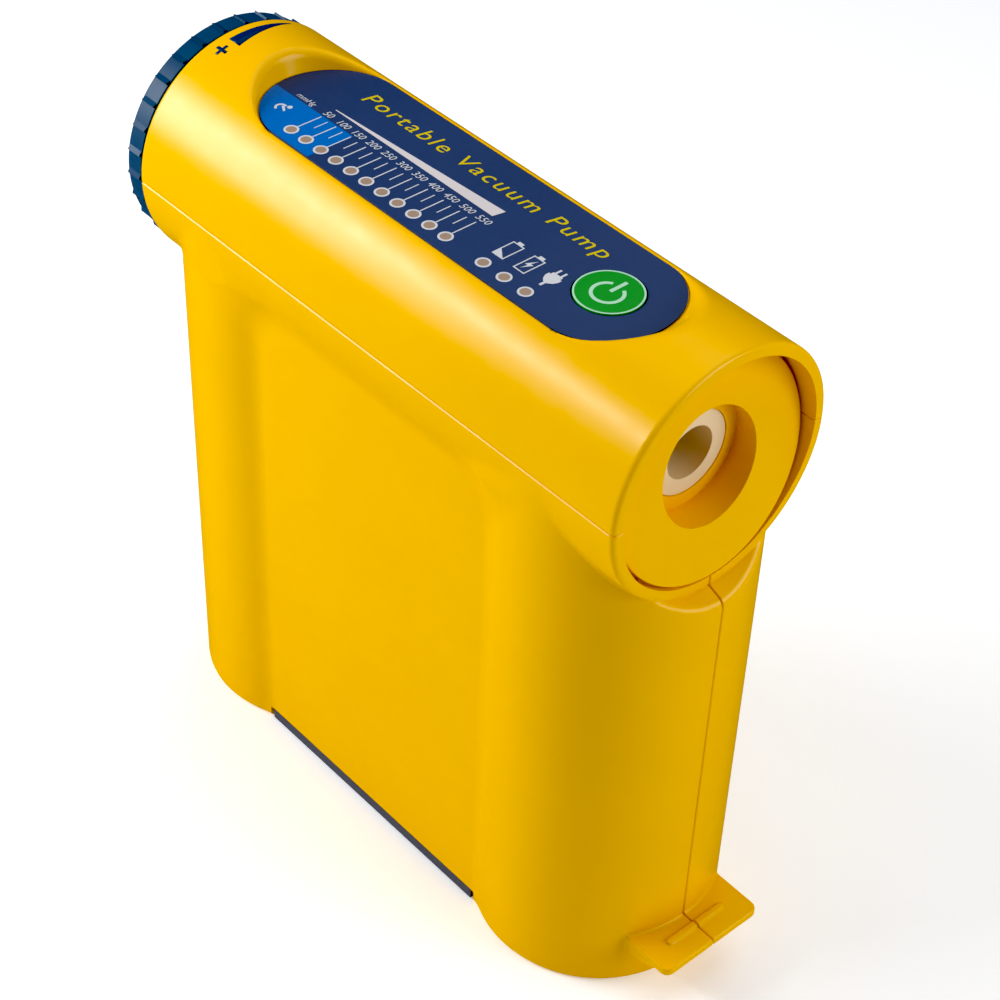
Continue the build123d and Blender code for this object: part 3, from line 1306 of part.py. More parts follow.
with BuildPart() as exhaust_muffler:
    with BuildSketch(Plane.YZ.offset(MUFFLER_BACK)):
        with Locations((BARB_Y, MUFFLER_Z)):
            Circle(MUFFLER_R)
    extrude(amount=MUFFLER_FRONT - MUFFLER_BACK)
    with BuildSketch(Plane.YZ.offset(MUFFLER_BACK + MUFFLER_WALL)):
        with Locations((BARB_Y, MUFFLER_Z)):
            Circle(MUFFLER_R - MUFFLER_WALL)
    extrude(amount=MUFFLER_FRONT - MUFFLER_BACK - 2 * MUFFLER_WALL, mode=Mode.SUBTRACT)
    with BuildSketch(Plane.YZ.offset(MUFFLER_FRONT)):
        with Locations((BARB_Y, MUFFLER_Z)):
            Circle(BARB_R)
            Circle(BARB_BORE_R, mode=Mode.SUBTRACT)
    extrude(amount=4)
    with BuildSketch(Plane.YZ.offset(MUFFLER_BACK)):
        with Locations((BARB_Y, MUFFLER_Z)):
            with PolarLocations(4, 6):
                Circle(1)
    extrude(amount=3, mode=Mode.SUBTRACT)
    with BuildSketch(Plane.YZ.offset(MUFFLER_FRONT - 3)):
        with Locations((BARB_Y, MUFFLER_Z)):
            Circle(BARB_BORE_R)
    extrude(amount=4, mode=Mode.SUBTRACT)
finish(exhaust_muffler, "exhaust_muffler")

JACK_FACE = BACK_FACE_X + 0.3
with BuildPart() as dc_inlet:
    with BuildSketch(Plane.YZ.offset(JACK_FACE)):
        with Locations((0, JACK_Z)):
            Circle(JACK_R)
    extrude(amount=5)
    with BuildSketch(Plane.YZ.offset(BACK_FACE_X + WALL + 1)):
        with Locations((0, JACK_Z)):
            RectangleRounded(13, 15, 1)
    extrude(amount=JACK_BODY_LENGTH)
    with BuildSketch(Plane.YZ.offset(JACK_FACE)):
        with Locations((0, JACK_Z)):
            Circle(JACK_BORE_R)
            Circle(JACK_PIN_R, mode=Mode.SUBTRACT)
    extrude(amount=JACK_DEPTH, mode=Mode.SUBTRACT)
    with BuildSketch(Plane.YZ.offset(JACK_FACE)):
        with Locations((0, JACK_Z)):
            Circle(JACK_PIN_R)
    extrude(amount=1.5, mode=Mode.SUBTRACT)
finish(dc_inlet, "dc_inlet")

with BuildPart() as housing_screws:
    with BuildSketch(Plane.XZ.offset(-SCREW_HEAD_Y)):
        with Locations(*SCREW_SPOTS):
            Circle(SCREW_SHANK_R)
    extrude(amount=SCREW_HEAD_Y + SCREW_DEPTH)
    with BuildSketch(Plane.XZ.offset(-SCREW_HEAD_Y - 2)):
        with Locations(*SCREW_SPOTS):
            Circle(SCREW_HEAD_R)
            RegularPolygon(1.2, 6, mode=Mode.SUBTRACT)
    extrude(amount=2)
finish(housing_screws, "housing_screws")

WIRE_R = 0.8
WIRE_TOP = BOARD_BOTTOM - HEADER_TALL - 1.2
wire_runs = []
for side in (-1, 1):
    wire_runs.append(
        (
            [
                (MOTOR_BACK - 9.2, side * TERMINAL_Y, MOTOR_Z + TERMINAL_RISE),
                (MOTOR_BACK - 17, side * 14, MOTOR_Z + 14),
                (MOTOR_BACK - 17, side * 20, MOTOR_Z + 44),
                (-62, side * 20, WIRE_TOP),
            ],
            [5, 20],
        )
    )
    wire_runs.append(
        (
            [
                (-48, side * 29, DECK_TOP + WIRE_R),
                (-48, side * 29, 190),
                (-48, side * 21.5, WIRE_TOP),
            ],
            [15],
        )
    )
    wire_runs.append(
        (
            [
                (BACK_FACE_X + WALL + 13, side * 4, JACK_Z),
                (BACK_FACE_X + WALL + 26, side * 4, JACK_Z),
                (BACK_FACE_X + WALL + 30, side * 20, JACK_Z + 40),
                (-82, side * 20, 190),
                (-66, side * 20, WIRE_TOP),
            ],
            [6, 20, 15],
        )
    )
with BuildPart() as wire_leads:
    for points, radii in wire_runs:
        add(hose_along(points, radii, WIRE_R, 0))
finish(wire_leads, "wire_leads")
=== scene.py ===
import json
import math

import bmesh
import bpy
import numpy as np
from mathutils import Matrix, Vector


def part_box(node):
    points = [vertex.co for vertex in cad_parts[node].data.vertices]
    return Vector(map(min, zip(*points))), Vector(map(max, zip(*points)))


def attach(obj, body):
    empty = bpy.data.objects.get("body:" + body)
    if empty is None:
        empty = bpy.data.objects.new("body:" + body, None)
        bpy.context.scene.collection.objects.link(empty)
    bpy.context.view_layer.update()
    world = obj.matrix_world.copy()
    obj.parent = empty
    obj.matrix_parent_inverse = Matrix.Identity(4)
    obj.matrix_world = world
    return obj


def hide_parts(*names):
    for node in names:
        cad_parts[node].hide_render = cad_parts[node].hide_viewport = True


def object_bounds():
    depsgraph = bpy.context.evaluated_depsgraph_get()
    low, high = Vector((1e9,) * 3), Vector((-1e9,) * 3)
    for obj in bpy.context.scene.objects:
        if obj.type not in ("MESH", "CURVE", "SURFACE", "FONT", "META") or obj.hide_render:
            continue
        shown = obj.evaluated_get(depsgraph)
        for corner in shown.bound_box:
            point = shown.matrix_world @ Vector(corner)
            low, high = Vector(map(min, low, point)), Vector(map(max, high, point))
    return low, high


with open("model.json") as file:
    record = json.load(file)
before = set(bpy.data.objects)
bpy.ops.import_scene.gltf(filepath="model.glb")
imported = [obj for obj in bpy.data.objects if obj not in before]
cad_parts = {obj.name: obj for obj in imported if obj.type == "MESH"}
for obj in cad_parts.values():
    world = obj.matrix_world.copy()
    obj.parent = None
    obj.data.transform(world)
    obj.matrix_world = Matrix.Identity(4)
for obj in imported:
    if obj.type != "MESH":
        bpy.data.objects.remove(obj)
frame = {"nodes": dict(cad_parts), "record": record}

MM = 0.001
cad_low, cad_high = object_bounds()


def box_mm(node):
    """A CAD node's lowest and highest corners, in millimetres."""
    low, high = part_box(node)
    return np.array(low) / MM, np.array(high) / MM


# Sizes in millimetres, in the shared frame: +X to the inlet port, +Z up, the left side at -Y.
cover_low, cover_high = box_mm("top_cover")
housing_low, housing_high = box_mm("left_housing")
label_low, label_high = box_mm("keypad_label")
door_low, door_high = box_mm("battery_door")
button_low, button_high = box_mm("power_button")
knob_low, knob_high = box_mm("regulator_knob")
jack_low, jack_high = box_mm("dc_inlet")
lens_low, lens_high = box_mm("gauge_lenses")
status_low, status_high = box_mm("status_lenses")

AXIS_Z = (knob_low[2] + knob_high[2]) / 2
BARREL_R = cover_high[1]
# Printed ink stands this much proud; the barrel is that much smaller, so that its ink stays in the box.
INK = 0.03
BARREL_BACK, BARREL_FRONT = cover_low[0], cover_high[0]
MOUTH_R = 36.9
WALL = 2.5
COLLAR_BACK = 82.2
PORT_X = 97.7
PORT_TILT = math.radians(9.15)
PORT_THICK = 2.5
SLAB_HALF = door_high[1]
BACK_COLUMN_X = -80.7
FRONT_COLUMN_X = 68.2
COLUMN_R = BACK_COLUMN_X - housing_low[0]
MID_X = (BACK_COLUMN_X + FRONT_COLUMN_X) / 2
SLAB_LENGTH = FRONT_COLUMN_X - BACK_COLUMN_X
SEAM = 0.12
SEAM_EDGE = 0.3

LEDGE_TOP = 22.5
LEDGE_THICK = 2.8
LEDGE_FRONT = housing_high[0]
LEDGE_HALF = 20.5
LEDGE_CORNER = 3.0
RIB_X = 114.2
RIB_WIDTH = 2.4
RIB_HALF = 12.5
RIB_HEIGHT = 0.9

LABEL_TOP = label_high[2]
LABEL_HALF = label_high[1]
LABEL_BACK_A = 22.6
LABEL_FRONT_A = 20.0
LABEL_BACK_X = label_low[0] + LABEL_BACK_A
LABEL_FRONT_X = label_high[0] - LABEL_FRONT_A
PANEL_FLOOR = label_low[2]
PANEL_RISE = 7.6
PANEL_BACK_SLOPE = 2.6
PANEL_FRONT_SLOPE = 7.5
PANEL_SIDE_SLOPE = 1.4
PANEL_GAP = 0.3

BUTTON_X = (button_low[0] + button_high[0]) / 2
BUTTON_Y = (button_low[1] + button_high[1]) / 2
BUTTON_HOLE_R = 10.65
DOOR_CUT_TOP = 4.9
JACK_Z = (jack_low[2] + jack_high[2]) / 2
JACK_HOLE_R = 6.1
SCREW_SPOTS = ((-98.0, 20.0), (-98.0, 140.0), (86.0, 40.0), (86.0, 140.0), (-40.0, 160.0))
SCREW_HOLE_R = 3.2
SCREW_FACE_Y = 8.0
VENT_X, VENT_Z = -30.0, 133.0
VENT_PITCH, VENT_COUNT, VENT_WIDTH, VENT_HEIGHT = 5.0, 6, 2.0, 18.0
VENT_FACE_Y = 30
JACK_FACE_X = -108

# How wide the form's roundings are. The widest one lies under the barrel, at the corners of the side recess,
# and fades out between these places along the barrel's two ends and below its axis.
BLEND_NARROW, BLEND_WIDE = 0.8, 8.5
BLEND_FRONT_FADE, BLEND_BACK_FADE, BLEND_TOP_FADE = (45, 76), (62, 108), (3, 16)
SLAB_BLEND, SLAB_BLEND_MORE, SLAB_BLEND_HEIGHTS = 1.7, 0.3, (135, 165)
BARREL_EDGE, COLUMN_TOP_EDGE, COLUMN_END_EDGE, BASE_EDGE = 1.9, 0.5, 2.6, 2.4
PANEL_SIDE_EDGE, PANEL_END_EDGE = 0.7, 2.3
PANEL_BACK_FADE, PANEL_FRONT_FADE = 20, 18
LEDGE_EDGE, RIB_EDGE, LEDGE_JOIN = 0.7, 0.6, 1.2

# The columns stay clear of the port's rim, which flares forward, and of the knob.
SCOOP_R, SCOOP_FLARE = 40.5, 0.4
KNOB_ROOM_R = 41.2

# The step in the mouth: its width, and how far it stays behind the port plate.
STEP_WIDTH, STEP_GAP = 1.7, 0.4
BUTTON_HOLE_FLOOR = 230.0

# The two gussets under the ledge: upright plates whose lower edge rises as it goes forward.
GUSSET_INSET, GUSSET_HALF, GUSSET_DROP = 1.3, 1.2, 0.5
GUSSET_BACK_X, GUSSET_FRONT_GAP = 101, 6
GUSSET_DEPTH, GUSSET_DOWN, GUSSET_OUT = 8.5, 0.95, 0.31


# ---------------------------------------------------------------- the shells' form

def smooth_min(a, b, k):
    """The lower of two distances, rounded where they meet; k is the width of the rounding."""
    h = np.clip(0.5 + 0.5 * (b - a) / k, 0, 1)
    return b * (1 - h) + a * h - k * h * (1 - h)


def smooth_max(a, b, k):
    """The higher of two distances, rounded where they meet."""
    return -smooth_min(-a, -b, k)


def ramp(v, start, end):
    """0 before start, 1 past end, smooth between."""
    t = np.clip((v - start) / (end - start), 0, 1)
    return t * t * (3 - 2 * t)


def rounded_box(u, v, half_u, half_v, radius):
    """Distance to a rectangle with rounded corners."""
    qu, qv = np.abs(u) - half_u + radius, np.abs(v) - half_v + radius
    past_corner = np.hypot(np.maximum(qu, 0), np.maximum(qv, 0))
    return past_corner + np.minimum(np.maximum(qu, qv), 0) - radius


def body_form(x, y, z):
    """Distance to the outer form: a barrel on a slab between two columns, soft where they run together."""
    r = np.hypot(y, z - AXIS_Z)
    barrel = r - BARREL_R + INK
    columns = np.minimum(np.hypot(x - BACK_COLUMN_X, y), np.hypot(x - FRONT_COLUMN_X, y)) - COLUMN_R
    slab = np.maximum(np.abs(y) - SLAB_HALF, np.abs(x - MID_X) - SLAB_LENGTH / 2)
    along = (1 - ramp(x, *BLEND_FRONT_FADE)) * (1 - ramp(-x, *BLEND_BACK_FADE))
    blend = BLEND_NARROW + BLEND_WIDE * along * ramp(AXIS_Z - z, *BLEND_TOP_FADE)
    scoop_r = SCOOP_R + SCOOP_FLARE * np.maximum(x - BARREL_FRONT, 0)
    scoop = np.maximum(BARREL_FRONT - x, r - scoop_r)
    knob_room = np.maximum(x - BARREL_BACK, r - KNOB_ROOM_R)
    ends = np.minimum(scoop, knob_room)
    column_part = smooth_max(columns, z - AXIS_Z, COLUMN_TOP_EDGE)
    column_part = smooth_max(column_part, -ends, COLUMN_END_EDGE)
    slab_part = np.maximum(slab, z - AXIS_Z)
    barrel_part = smooth_max(barrel, np.maximum(x - BARREL_FRONT, BARREL_BACK - x), BARREL_EDGE)
    slab_blend = SLAB_BLEND + SLAB_BLEND_MORE * ramp(z, *SLAB_BLEND_HEIGHTS)
    form = smooth_min(smooth_min(barrel_part, column_part, blend), slab_part, slab_blend)
    form = np.maximum(form, np.abs(y) - BARREL_R)
    return smooth_max(form, -z, BASE_EDGE)


def panel_cut(x, y, z):
    """Distance to the side of the control panel's recess, which opens out towards its top."""
    t = (z - PANEL_FLOOR) / PANEL_RISE
    back = np.minimum(x - LABEL_BACK_X, 0)
    front = np.maximum(x - LABEL_FRONT_X, 0)
    half = LABEL_HALF + PANEL_GAP + PANEL_SIDE_SLOPE * t
    a_back = LABEL_BACK_A + PANEL_GAP + PANEL_BACK_SLOPE * t
    a_front = LABEL_FRONT_A + PANEL_GAP + PANEL_FRONT_SLOPE * t
    along = np.where(back < 0, back / a_back, front / a_front)
    slope = np.where(back < 0, along / a_back, along / a_front)
    f = np.hypot(along, y / half)
    return (f - 1) * f / np.maximum(np.hypot(slope, y / half**2), 1e-3)


def hollow(outer, x, y, z):
    """The shell left when the form is hollowed out and its round ends are opened."""
    r = np.hypot(y, z - AXIS_Z)
    collar = np.maximum(COLLAR_BACK - x, r - BARREL_R)
    ends = np.maximum(r - MOUTH_R, np.minimum(COLLAR_BACK - x, x - BARREL_BACK - WALL))
    # A shallow step in the mouth, close behind the tilted port plate.
    past_port = (x - PORT_X) * math.cos(PORT_TILT) + (z - AXIS_Z) * math.sin(PORT_TILT)
    behind = past_port + PORT_THICK + STEP_GAP
    step = np.maximum(np.maximum(behind, COLLAR_BACK - x), MOUTH_R - STEP_WIDTH - r)
    ends = np.maximum(ends, -step)
    return np.maximum(outer, -np.minimum(np.maximum(outer + WALL, -collar), ends))


def chamfered(form, plane, outer):
    """Cuts a form at a plane, with a fine chamfer where the plane meets the outer face."""
    cut = np.maximum(form, plane)
    return np.maximum(cut, (outer + plane + SEAM_EDGE) * math.sqrt(0.5))


def cover_field(x, y, z):
    """The barrel's upper half, with the panel's recess and the button's hole."""
    outer = body_form(x, y, z)
    recess = np.maximum(panel_cut(x, y, z), PANEL_FLOOR - z)
    to_back = ramp(-x, -LABEL_BACK_X, -LABEL_BACK_X + PANEL_BACK_FADE)
    to_front = ramp(x, LABEL_FRONT_X, LABEL_FRONT_X + PANEL_FRONT_FADE)
    outer = smooth_max(outer, -recess, PANEL_SIDE_EDGE + PANEL_END_EDGE * np.maximum(to_back, to_front))
    form = hollow(outer, x, y, z)
    button_hole = np.maximum(np.hypot(x - BUTTON_X, y - BUTTON_Y) - BUTTON_HOLE_R, BUTTON_HOLE_FLOOR - z)
    form = np.maximum(form, -button_hole)
    return chamfered(form, AXIS_Z + SEAM - z, outer)


def ledge_field(x, y, z):
    """The canister ledge: a thin shelf with a raised rib, held by two small gussets."""
    middle = (FRONT_COLUMN_X + LEDGE_FRONT) / 2
    plan = rounded_box(x - middle, y, (LEDGE_FRONT - FRONT_COLUMN_X) / 2, LEDGE_HALF, LEDGE_CORNER)
    shelf = smooth_max(plan, np.abs(z - LEDGE_TOP + LEDGE_THICK / 2) - LEDGE_THICK / 2, LEDGE_EDGE)
    along_rib = np.maximum(np.abs(y) - RIB_HALF + RIB_WIDTH / 2, 0)
    rib = np.hypot(x - RIB_X, along_rib) - RIB_WIDTH / 2
    rib = smooth_max(rib, np.abs(z - LEDGE_TOP) - RIB_HEIGHT, RIB_EDGE)
    gusset = np.abs(np.abs(y) - LEDGE_HALF + GUSSET_INSET) - GUSSET_HALF
    gusset = np.maximum(gusset, z - LEDGE_TOP + GUSSET_DROP)
    lower_edge = GUSSET_DOWN * (LEDGE_TOP - GUSSET_DEPTH - z) + GUSSET_OUT * (x - GUSSET_BACK_X)
    gusset = np.maximum(gusset, lower_edge)
    gusset = np.maximum(gusset, np.maximum(x - LEDGE_FRONT + GUSSET_FRONT_GAP, GUSSET_BACK_X - x))
    outside = COLUMN_R - WALL / 2 - np.hypot(x - FRONT_COLUMN_X, y)
    return np.maximum(np.minimum(smooth_min(shelf, rib, RIB_EDGE), gusset), outside)


def housing_field(x, y, z, side):
    """Half of the lower case: side is -1 for the left, and 1 for the right, which has screws and a vent."""
    body, ledge = body_form(x, y, z), ledge_field(x, y, z)
    outer = smooth_min(body, ledge, LEDGE_JOIN)
    form = hollow(np.minimum(outer, body), x, y, z)
    form = np.minimum(form, ledge)
    door_middle = (door_low[0] + door_high[0]) / 2
    door_room = np.maximum(np.abs(x - door_middle) - (door_high[0] - door_low[0]) / 2, z - DOOR_CUT_TOP)
    form = np.maximum(form, -door_room)
    jack_hole = np.maximum(np.hypot(y, z - JACK_Z) - JACK_HOLE_R, x - JACK_FACE_X)
    form = np.maximum(form, -jack_hole)
    if side > 0:
        for spot_x, spot_z in SCREW_SPOTS:
            hole = np.maximum(np.hypot(x - spot_x, z - spot_z) - SCREW_HOLE_R, SCREW_FACE_Y - y)
            form = np.maximum(form, -hole)
        for i in range(VENT_COUNT):
            slot_x = VENT_X + (i - (VENT_COUNT - 1) / 2) * VENT_PITCH
            reach = np.maximum(np.abs(z - VENT_Z) - (VENT_HEIGHT - VENT_WIDTH) / 2, 0)
            slot = np.maximum(np.hypot(x - slot_x, reach) - VENT_WIDTH / 2, VENT_FACE_Y - y)
            form = np.maximum(form, -slot)
    form = chamfered(form, z - AXIS_Z + SEAM, outer)
    return chamfered(form, SEAM - side * y, outer)


# How often a crossing is halved to find it, and the least share of a cell's slopes that counts as an edge.
HALVINGS = 12
EDGE_SHARE = 0.06


def contour(field, xs, ys, zs):
    """The surface where field is 0, with a corner in each cell of a grid, placed by the surface's slopes."""
    lines = (np.asarray(xs), np.asarray(ys), np.asarray(zs))
    inside = field(lines[0][:, None, None], lines[1][None, :, None], lines[2][None, None, :]) < 0
    size = np.array(inside.shape) - 1
    points, cells, flips = [], [], []
    for axis in range(3):
        low = [slice(None)] * 3
        high = [slice(None)] * 3
        low[axis], high[axis] = slice(None, -1), slice(1, None)
        spots = np.argwhere(inside[tuple(low)] != inside[tuple(high)])
        start = np.stack([lines[i][spots[:, i]] for i in range(3)], axis=1)
        end = start.copy()
        end[:, axis] = lines[axis][spots[:, axis] + 1]
        from_inside = inside[tuple(spots.T)]
        a, b = np.zeros(len(spots)), np.ones(len(spots))
        for _ in range(HALVINGS):
            middle = (a + b) / 2
            here = start + (end - start) * middle[:, None]
            same = (field(*here.T) < 0) == from_inside
            a, b = np.where(same, middle, a), np.where(same, b, middle)
        points.append(start + (end - start) * ((a + b) / 2)[:, None])
        second, third = (axis + 1) % 3, (axis + 2) % 3
        around = []
        for step_2, step_3 in ((-1, -1), (0, -1), (0, 0), (-1, 0)):
            cell = spots.copy()
            cell[:, second] += step_2
            cell[:, third] += step_3
            around.append((cell[:, 0] * size[1] + cell[:, 1]) * size[2] + cell[:, 2])
        cells.append(np.stack(around, axis=1))
        flips.append(~from_inside)
    points, cells, flips = np.concatenate(points), np.concatenate(cells), np.concatenate(flips)
    normals = slopes(field, points)
    used, index = np.unique(cells.ravel(), return_inverse=True)
    index = index.ravel()
    which = np.repeat(np.arange(len(points)), 4)

    def gather(values):
        """For each cell, the sum of a value over the points on its edges."""
        return np.bincount(index, weights=values[which], minlength=len(used))

    count = gather(np.ones(len(points)))
    middle = np.stack([gather(points[:, i]) for i in range(3)], axis=1) / count[:, None]
    matrix = np.empty((len(used), 3, 3))
    for i in range(3):
        for j in range(3):
            matrix[:, i, j] = gather(normals[:, i] * normals[:, j])
    reach = gather_vector(normals, points, gather) - np.einsum("nij,nj->ni", matrix, middle)
    values, vectors = np.linalg.eigh(matrix)
    keep = values > EDGE_SHARE * values[:, -1:]
    inverse = np.where(keep, 1 / np.where(keep, values, 1), 0)
    local = np.einsum("nji,nj->ni", vectors, reach) * inverse
    corners = middle + np.einsum("nij,nj->ni", vectors, local)
    for i, stride in enumerate((size[1] * size[2], size[2], 1)):
        cell = used // stride % size[i]
        corners[:, i] = np.clip(corners[:, i], lines[i][cell], lines[i][cell + 1])
    faces = index.reshape(-1, 4)
    faces = np.where(flips[:, None], faces[:, ::-1], faces)
    return corners, faces


def gather_vector(normals, points, gather):
    """For each cell, the sum of its points' normals, each as long as its plane is far from the origin."""
    heights = (normals * points).sum(axis=1)
    return np.stack([gather(normals[:, i] * heights) for i in range(3)], axis=1)


def slopes(field, points, step=0.01):
    """The field's direction of steepest rise at some points."""
    rise = np.empty_like(points)
    for i in range(3):
        offset = np.zeros(3)
        offset[i] = step
        rise[:, i] = field(*(points + offset).T) - field(*(points - offset).T)
    return rise / np.maximum(np.linalg.norm(rise, axis=1), 1e-9)[:, None]


# The shading at a face's corner is read this far towards the face's middle, so that edges stay crisp.
SHADING_INSET = 0.25


def shell(name, field, xs, ys, zs):
    """A mesh object of a field's surface, with its shading taken from the field."""
    corners, faces = contour(field, xs, ys, zs)
    corners = np.clip(corners, np.array(cad_low) / MM, np.array(cad_high) / MM)
    mesh = bpy.data.meshes.new(name)
    mesh.from_pydata((corners * MM).tolist(), [], faces.tolist())
    mesh.validate()
    mesh.update()
    loops = np.empty(len(mesh.loops), dtype=np.int64)
    mesh.loops.foreach_get("vertex_index", loops)
    centres = np.empty(len(mesh.polygons) * 3)
    mesh.polygons.foreach_get("center", centres)
    totals = np.empty(len(mesh.polygons), dtype=np.int64)
    mesh.polygons.foreach_get("loop_total", totals)
    coordinates = np.empty(len(mesh.vertices) * 3)
    mesh.vertices.foreach_get("co", coordinates)
    at = coordinates.reshape(-1, 3)[loops] / MM
    centre = np.repeat(centres.reshape(-1, 3) / MM, totals, axis=0)
    normals = slopes(field, at + (centre - at) * SHADING_INSET)
    mesh.shade_smooth()
    mesh.normals_split_custom_set(normals.tolist())
    piece = bpy.data.objects.new(name, mesh)
    bpy.context.collection.objects.link(piece)
    return piece


# A band of finer lines that is closer than this isn't aimed at.
NEAREST_AIM = 0.05


def grid_lines(low, high, step, fine=()):
    """Grid lines from low to high, a step apart, closer where fine gives (from, to, step)."""
    marks = []
    at = low
    while at < high:
        marks.append(at)
        here = [f for f in fine if f[0] <= at < f[1]]
        pace = min([f[2] for f in here], default=step)
        ahead = [f[0] for f in fine if at < f[0]]
        at += min([pace] + [a - at for a in ahead if a - at > NEAREST_AIM])
    marks.append(high)
    return marks


# The grids reach a little past the form. Bands of finer lines lie over rims, seams, holes and the ledge.
COARSE = 1.0
COVER_X, COVER_TOP = (-116.1, 105.0), AXIS_Z + 42.3
HOUSING_X, HOUSING_BOTTOM = (-123.2, 124.2), -1.2
COVER_STEPS = [step * COARSE for step in (1.5, 1.1, 1.1)]
HOUSING_STEPS = [step * COARSE for step in (1.6, 1.2, 1.6)]
SIDE_Y = 42.6
SEAM_ROOM = 0.9
RIMS_FINE_X = [(-116.0, -111.5, 0.5), (99.5, 112.0, 0.6), (112.0, 124.0, 0.6)]
X_FINE = RIMS_FINE_X + [(-61.5, -59.5, 0.6), (46.0, 48.0, 0.6)]
Y_FINE = [(-1.2, 1.2, 0.3), (-22.5, -18.5, 0.6), (18.5, 22.5, 0.6), (-38.0, -34.0, 0.7), (34.0, 38.0, 0.7)]
Z_FINE_LOW = [(-1.0, 5.5, 0.6), (12.0, 24.5, 0.55), (155.0, 170.0, 0.9), (AXIS_Z - 1.8, AXIS_Z + 1, 0.3)]
Z_FINE_HIGH = [(AXIS_Z - 1, AXIS_Z + 1.8, 0.3), (PANEL_FLOOR - 1.2, PANEL_FLOOR + 1.8, 0.5)]
SCREW_ROOM, VENT_ROOM_X, VENT_ROOM_Z = 4.5, 15, 10
HOLES_FINE_X = [(x - SCREW_ROOM, x + SCREW_ROOM, 0.8) for x, _ in SCREW_SPOTS]
HOLES_FINE_X.append((VENT_X - VENT_ROOM_X, VENT_X + VENT_ROOM_X, 0.5))
HOLES_FINE_Z = [(z - SCREW_ROOM, z + SCREW_ROOM, 0.8) for _, z in SCREW_SPOTS]
HOLES_FINE_Z.append((VENT_Z - VENT_ROOM_Z, VENT_Z + VENT_ROOM_Z, 0.7))
JACK_FINE = [(JACK_Z - 7.5, JACK_Z + 7.5, 0.8)]

cover = shell(
    "cover_shell",
    cover_field,
    grid_lines(*COVER_X, COVER_STEPS[0], X_FINE),
    grid_lines(-SIDE_Y, SIDE_Y, COVER_STEPS[1]),
    grid_lines(AXIS_Z - SEAM_ROOM, COVER_TOP, COVER_STEPS[2], Z_FINE_HIGH),
)
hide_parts("top_cover")
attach(cover, "case")

housings = []
for side, name, y_range, holes_x, holes_z in (
    (-1, "left", (-SIDE_Y, SEAM_ROOM), [], []),
    (1, "right", (-SEAM_ROOM, SIDE_Y), HOLES_FINE_X, HOLES_FINE_Z),
):
    piece = shell(
        f"{name}_shell",
        lambda x, y, z, side=side: housing_field(x, y, z, side),
        grid_lines(*HOUSING_X, HOUSING_STEPS[0], X_FINE + holes_x),
        grid_lines(*y_range, HOUSING_STEPS[1], Y_FINE),
        grid_lines(HOUSING_BOTTOM, AXIS_Z + SEAM_ROOM, HOUSING_STEPS[2], Z_FINE_LOW + JACK_FINE + holes_z),
    )
    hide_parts(f"{name}_housing")
    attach(piece, "case")
    housings.append(piece)


# ---------------------------------------------------------------- materials

def new_material(name):
    """A material with a plain shader, and the object coordinates that its textures use."""
    made = bpy.data.materials.new(name)
    made.use_nodes = True
    nodes = made.node_tree.nodes
    shader = nodes["Principled BSDF"]
    return made, nodes, made.node_tree.links, shader, nodes.new("ShaderNodeTexCoord").outputs["Object"]


def noise(nodes, links, place, scale, detail=2.0):
    """A cloudy 0 to 1 texture; scale is in clouds per metre."""
    texture = nodes.new("ShaderNodeTexNoise")
    texture.inputs["Scale"].default_value = scale
    texture.inputs["Detail"].default_value = detail
    links.new(place, texture.inputs["Vector"])
    return texture.outputs["Fac"]


# Nearly all of a cloudy texture's values lie between these.
CLOUD_LOW, CLOUD_HIGH = 0.3, 0.7


def mapped(nodes, links, value, low, high):
    """A cloudy texture's values stretched to the range low to high."""
    node = nodes.new("ShaderNodeMapRange")
    node.inputs["From Min"].default_value = CLOUD_LOW
    node.inputs["From Max"].default_value = CLOUD_HIGH
    node.inputs["To Min"].default_value = low
    node.inputs["To Max"].default_value = high
    links.new(value, node.inputs["Value"])
    return node.outputs["Result"]


def tinted(nodes, links, factor, first, second):
    """Two colours mixed by a texture."""
    mix = nodes.new("ShaderNodeMix")
    mix.data_type = "RGBA"
    mix.inputs["A"].default_value = (*first, 1)
    mix.inputs["B"].default_value = (*second, 1)
    links.new(factor, mix.inputs["Factor"])
    return mix.outputs["Result"]


def bumped(nodes, links, height, shader, depth):
    """Fine relief of a depth in millimetres."""
    bump = nodes.new("ShaderNodeBump")
    bump.inputs["Distance"].default_value = depth * MM
    bump.inputs["Strength"].default_value = 1.0
    links.new(height, bump.inputs["Height"])
    links.new(bump.outputs["Normal"], shader.inputs["Normal"])


# Clouds per metre of the slow changes of colour and gloss, and how far roughness changes on plastic and metal.
DRIFT_SCALE, PATCH_SCALE, SMEAR_SCALE, DUST_SCALE = 22.0, 140.0, 90.0, 300.0
PATCH_ROUGHNESS, SMEAR_SMOOTHER, SMEAR_ROUGHER = 0.03, 0.06, 0.08
# The pointiness over which an edge goes from unworn to worn, and how much paler it gets.
UNWORN, WORN, WORN_GAIN, WORN_LIFT = 0.54, 0.66, 1.15, 0.02
METAL_DARK = 0.82
# A circuit board's tracks: how many per metre, and how bright they and their gaps are.
TRACK_SCALE, TRACK_GAIN, GAP_GAIN, GAP_SIZE = 90.0, 1.5, 0.5, 0.04


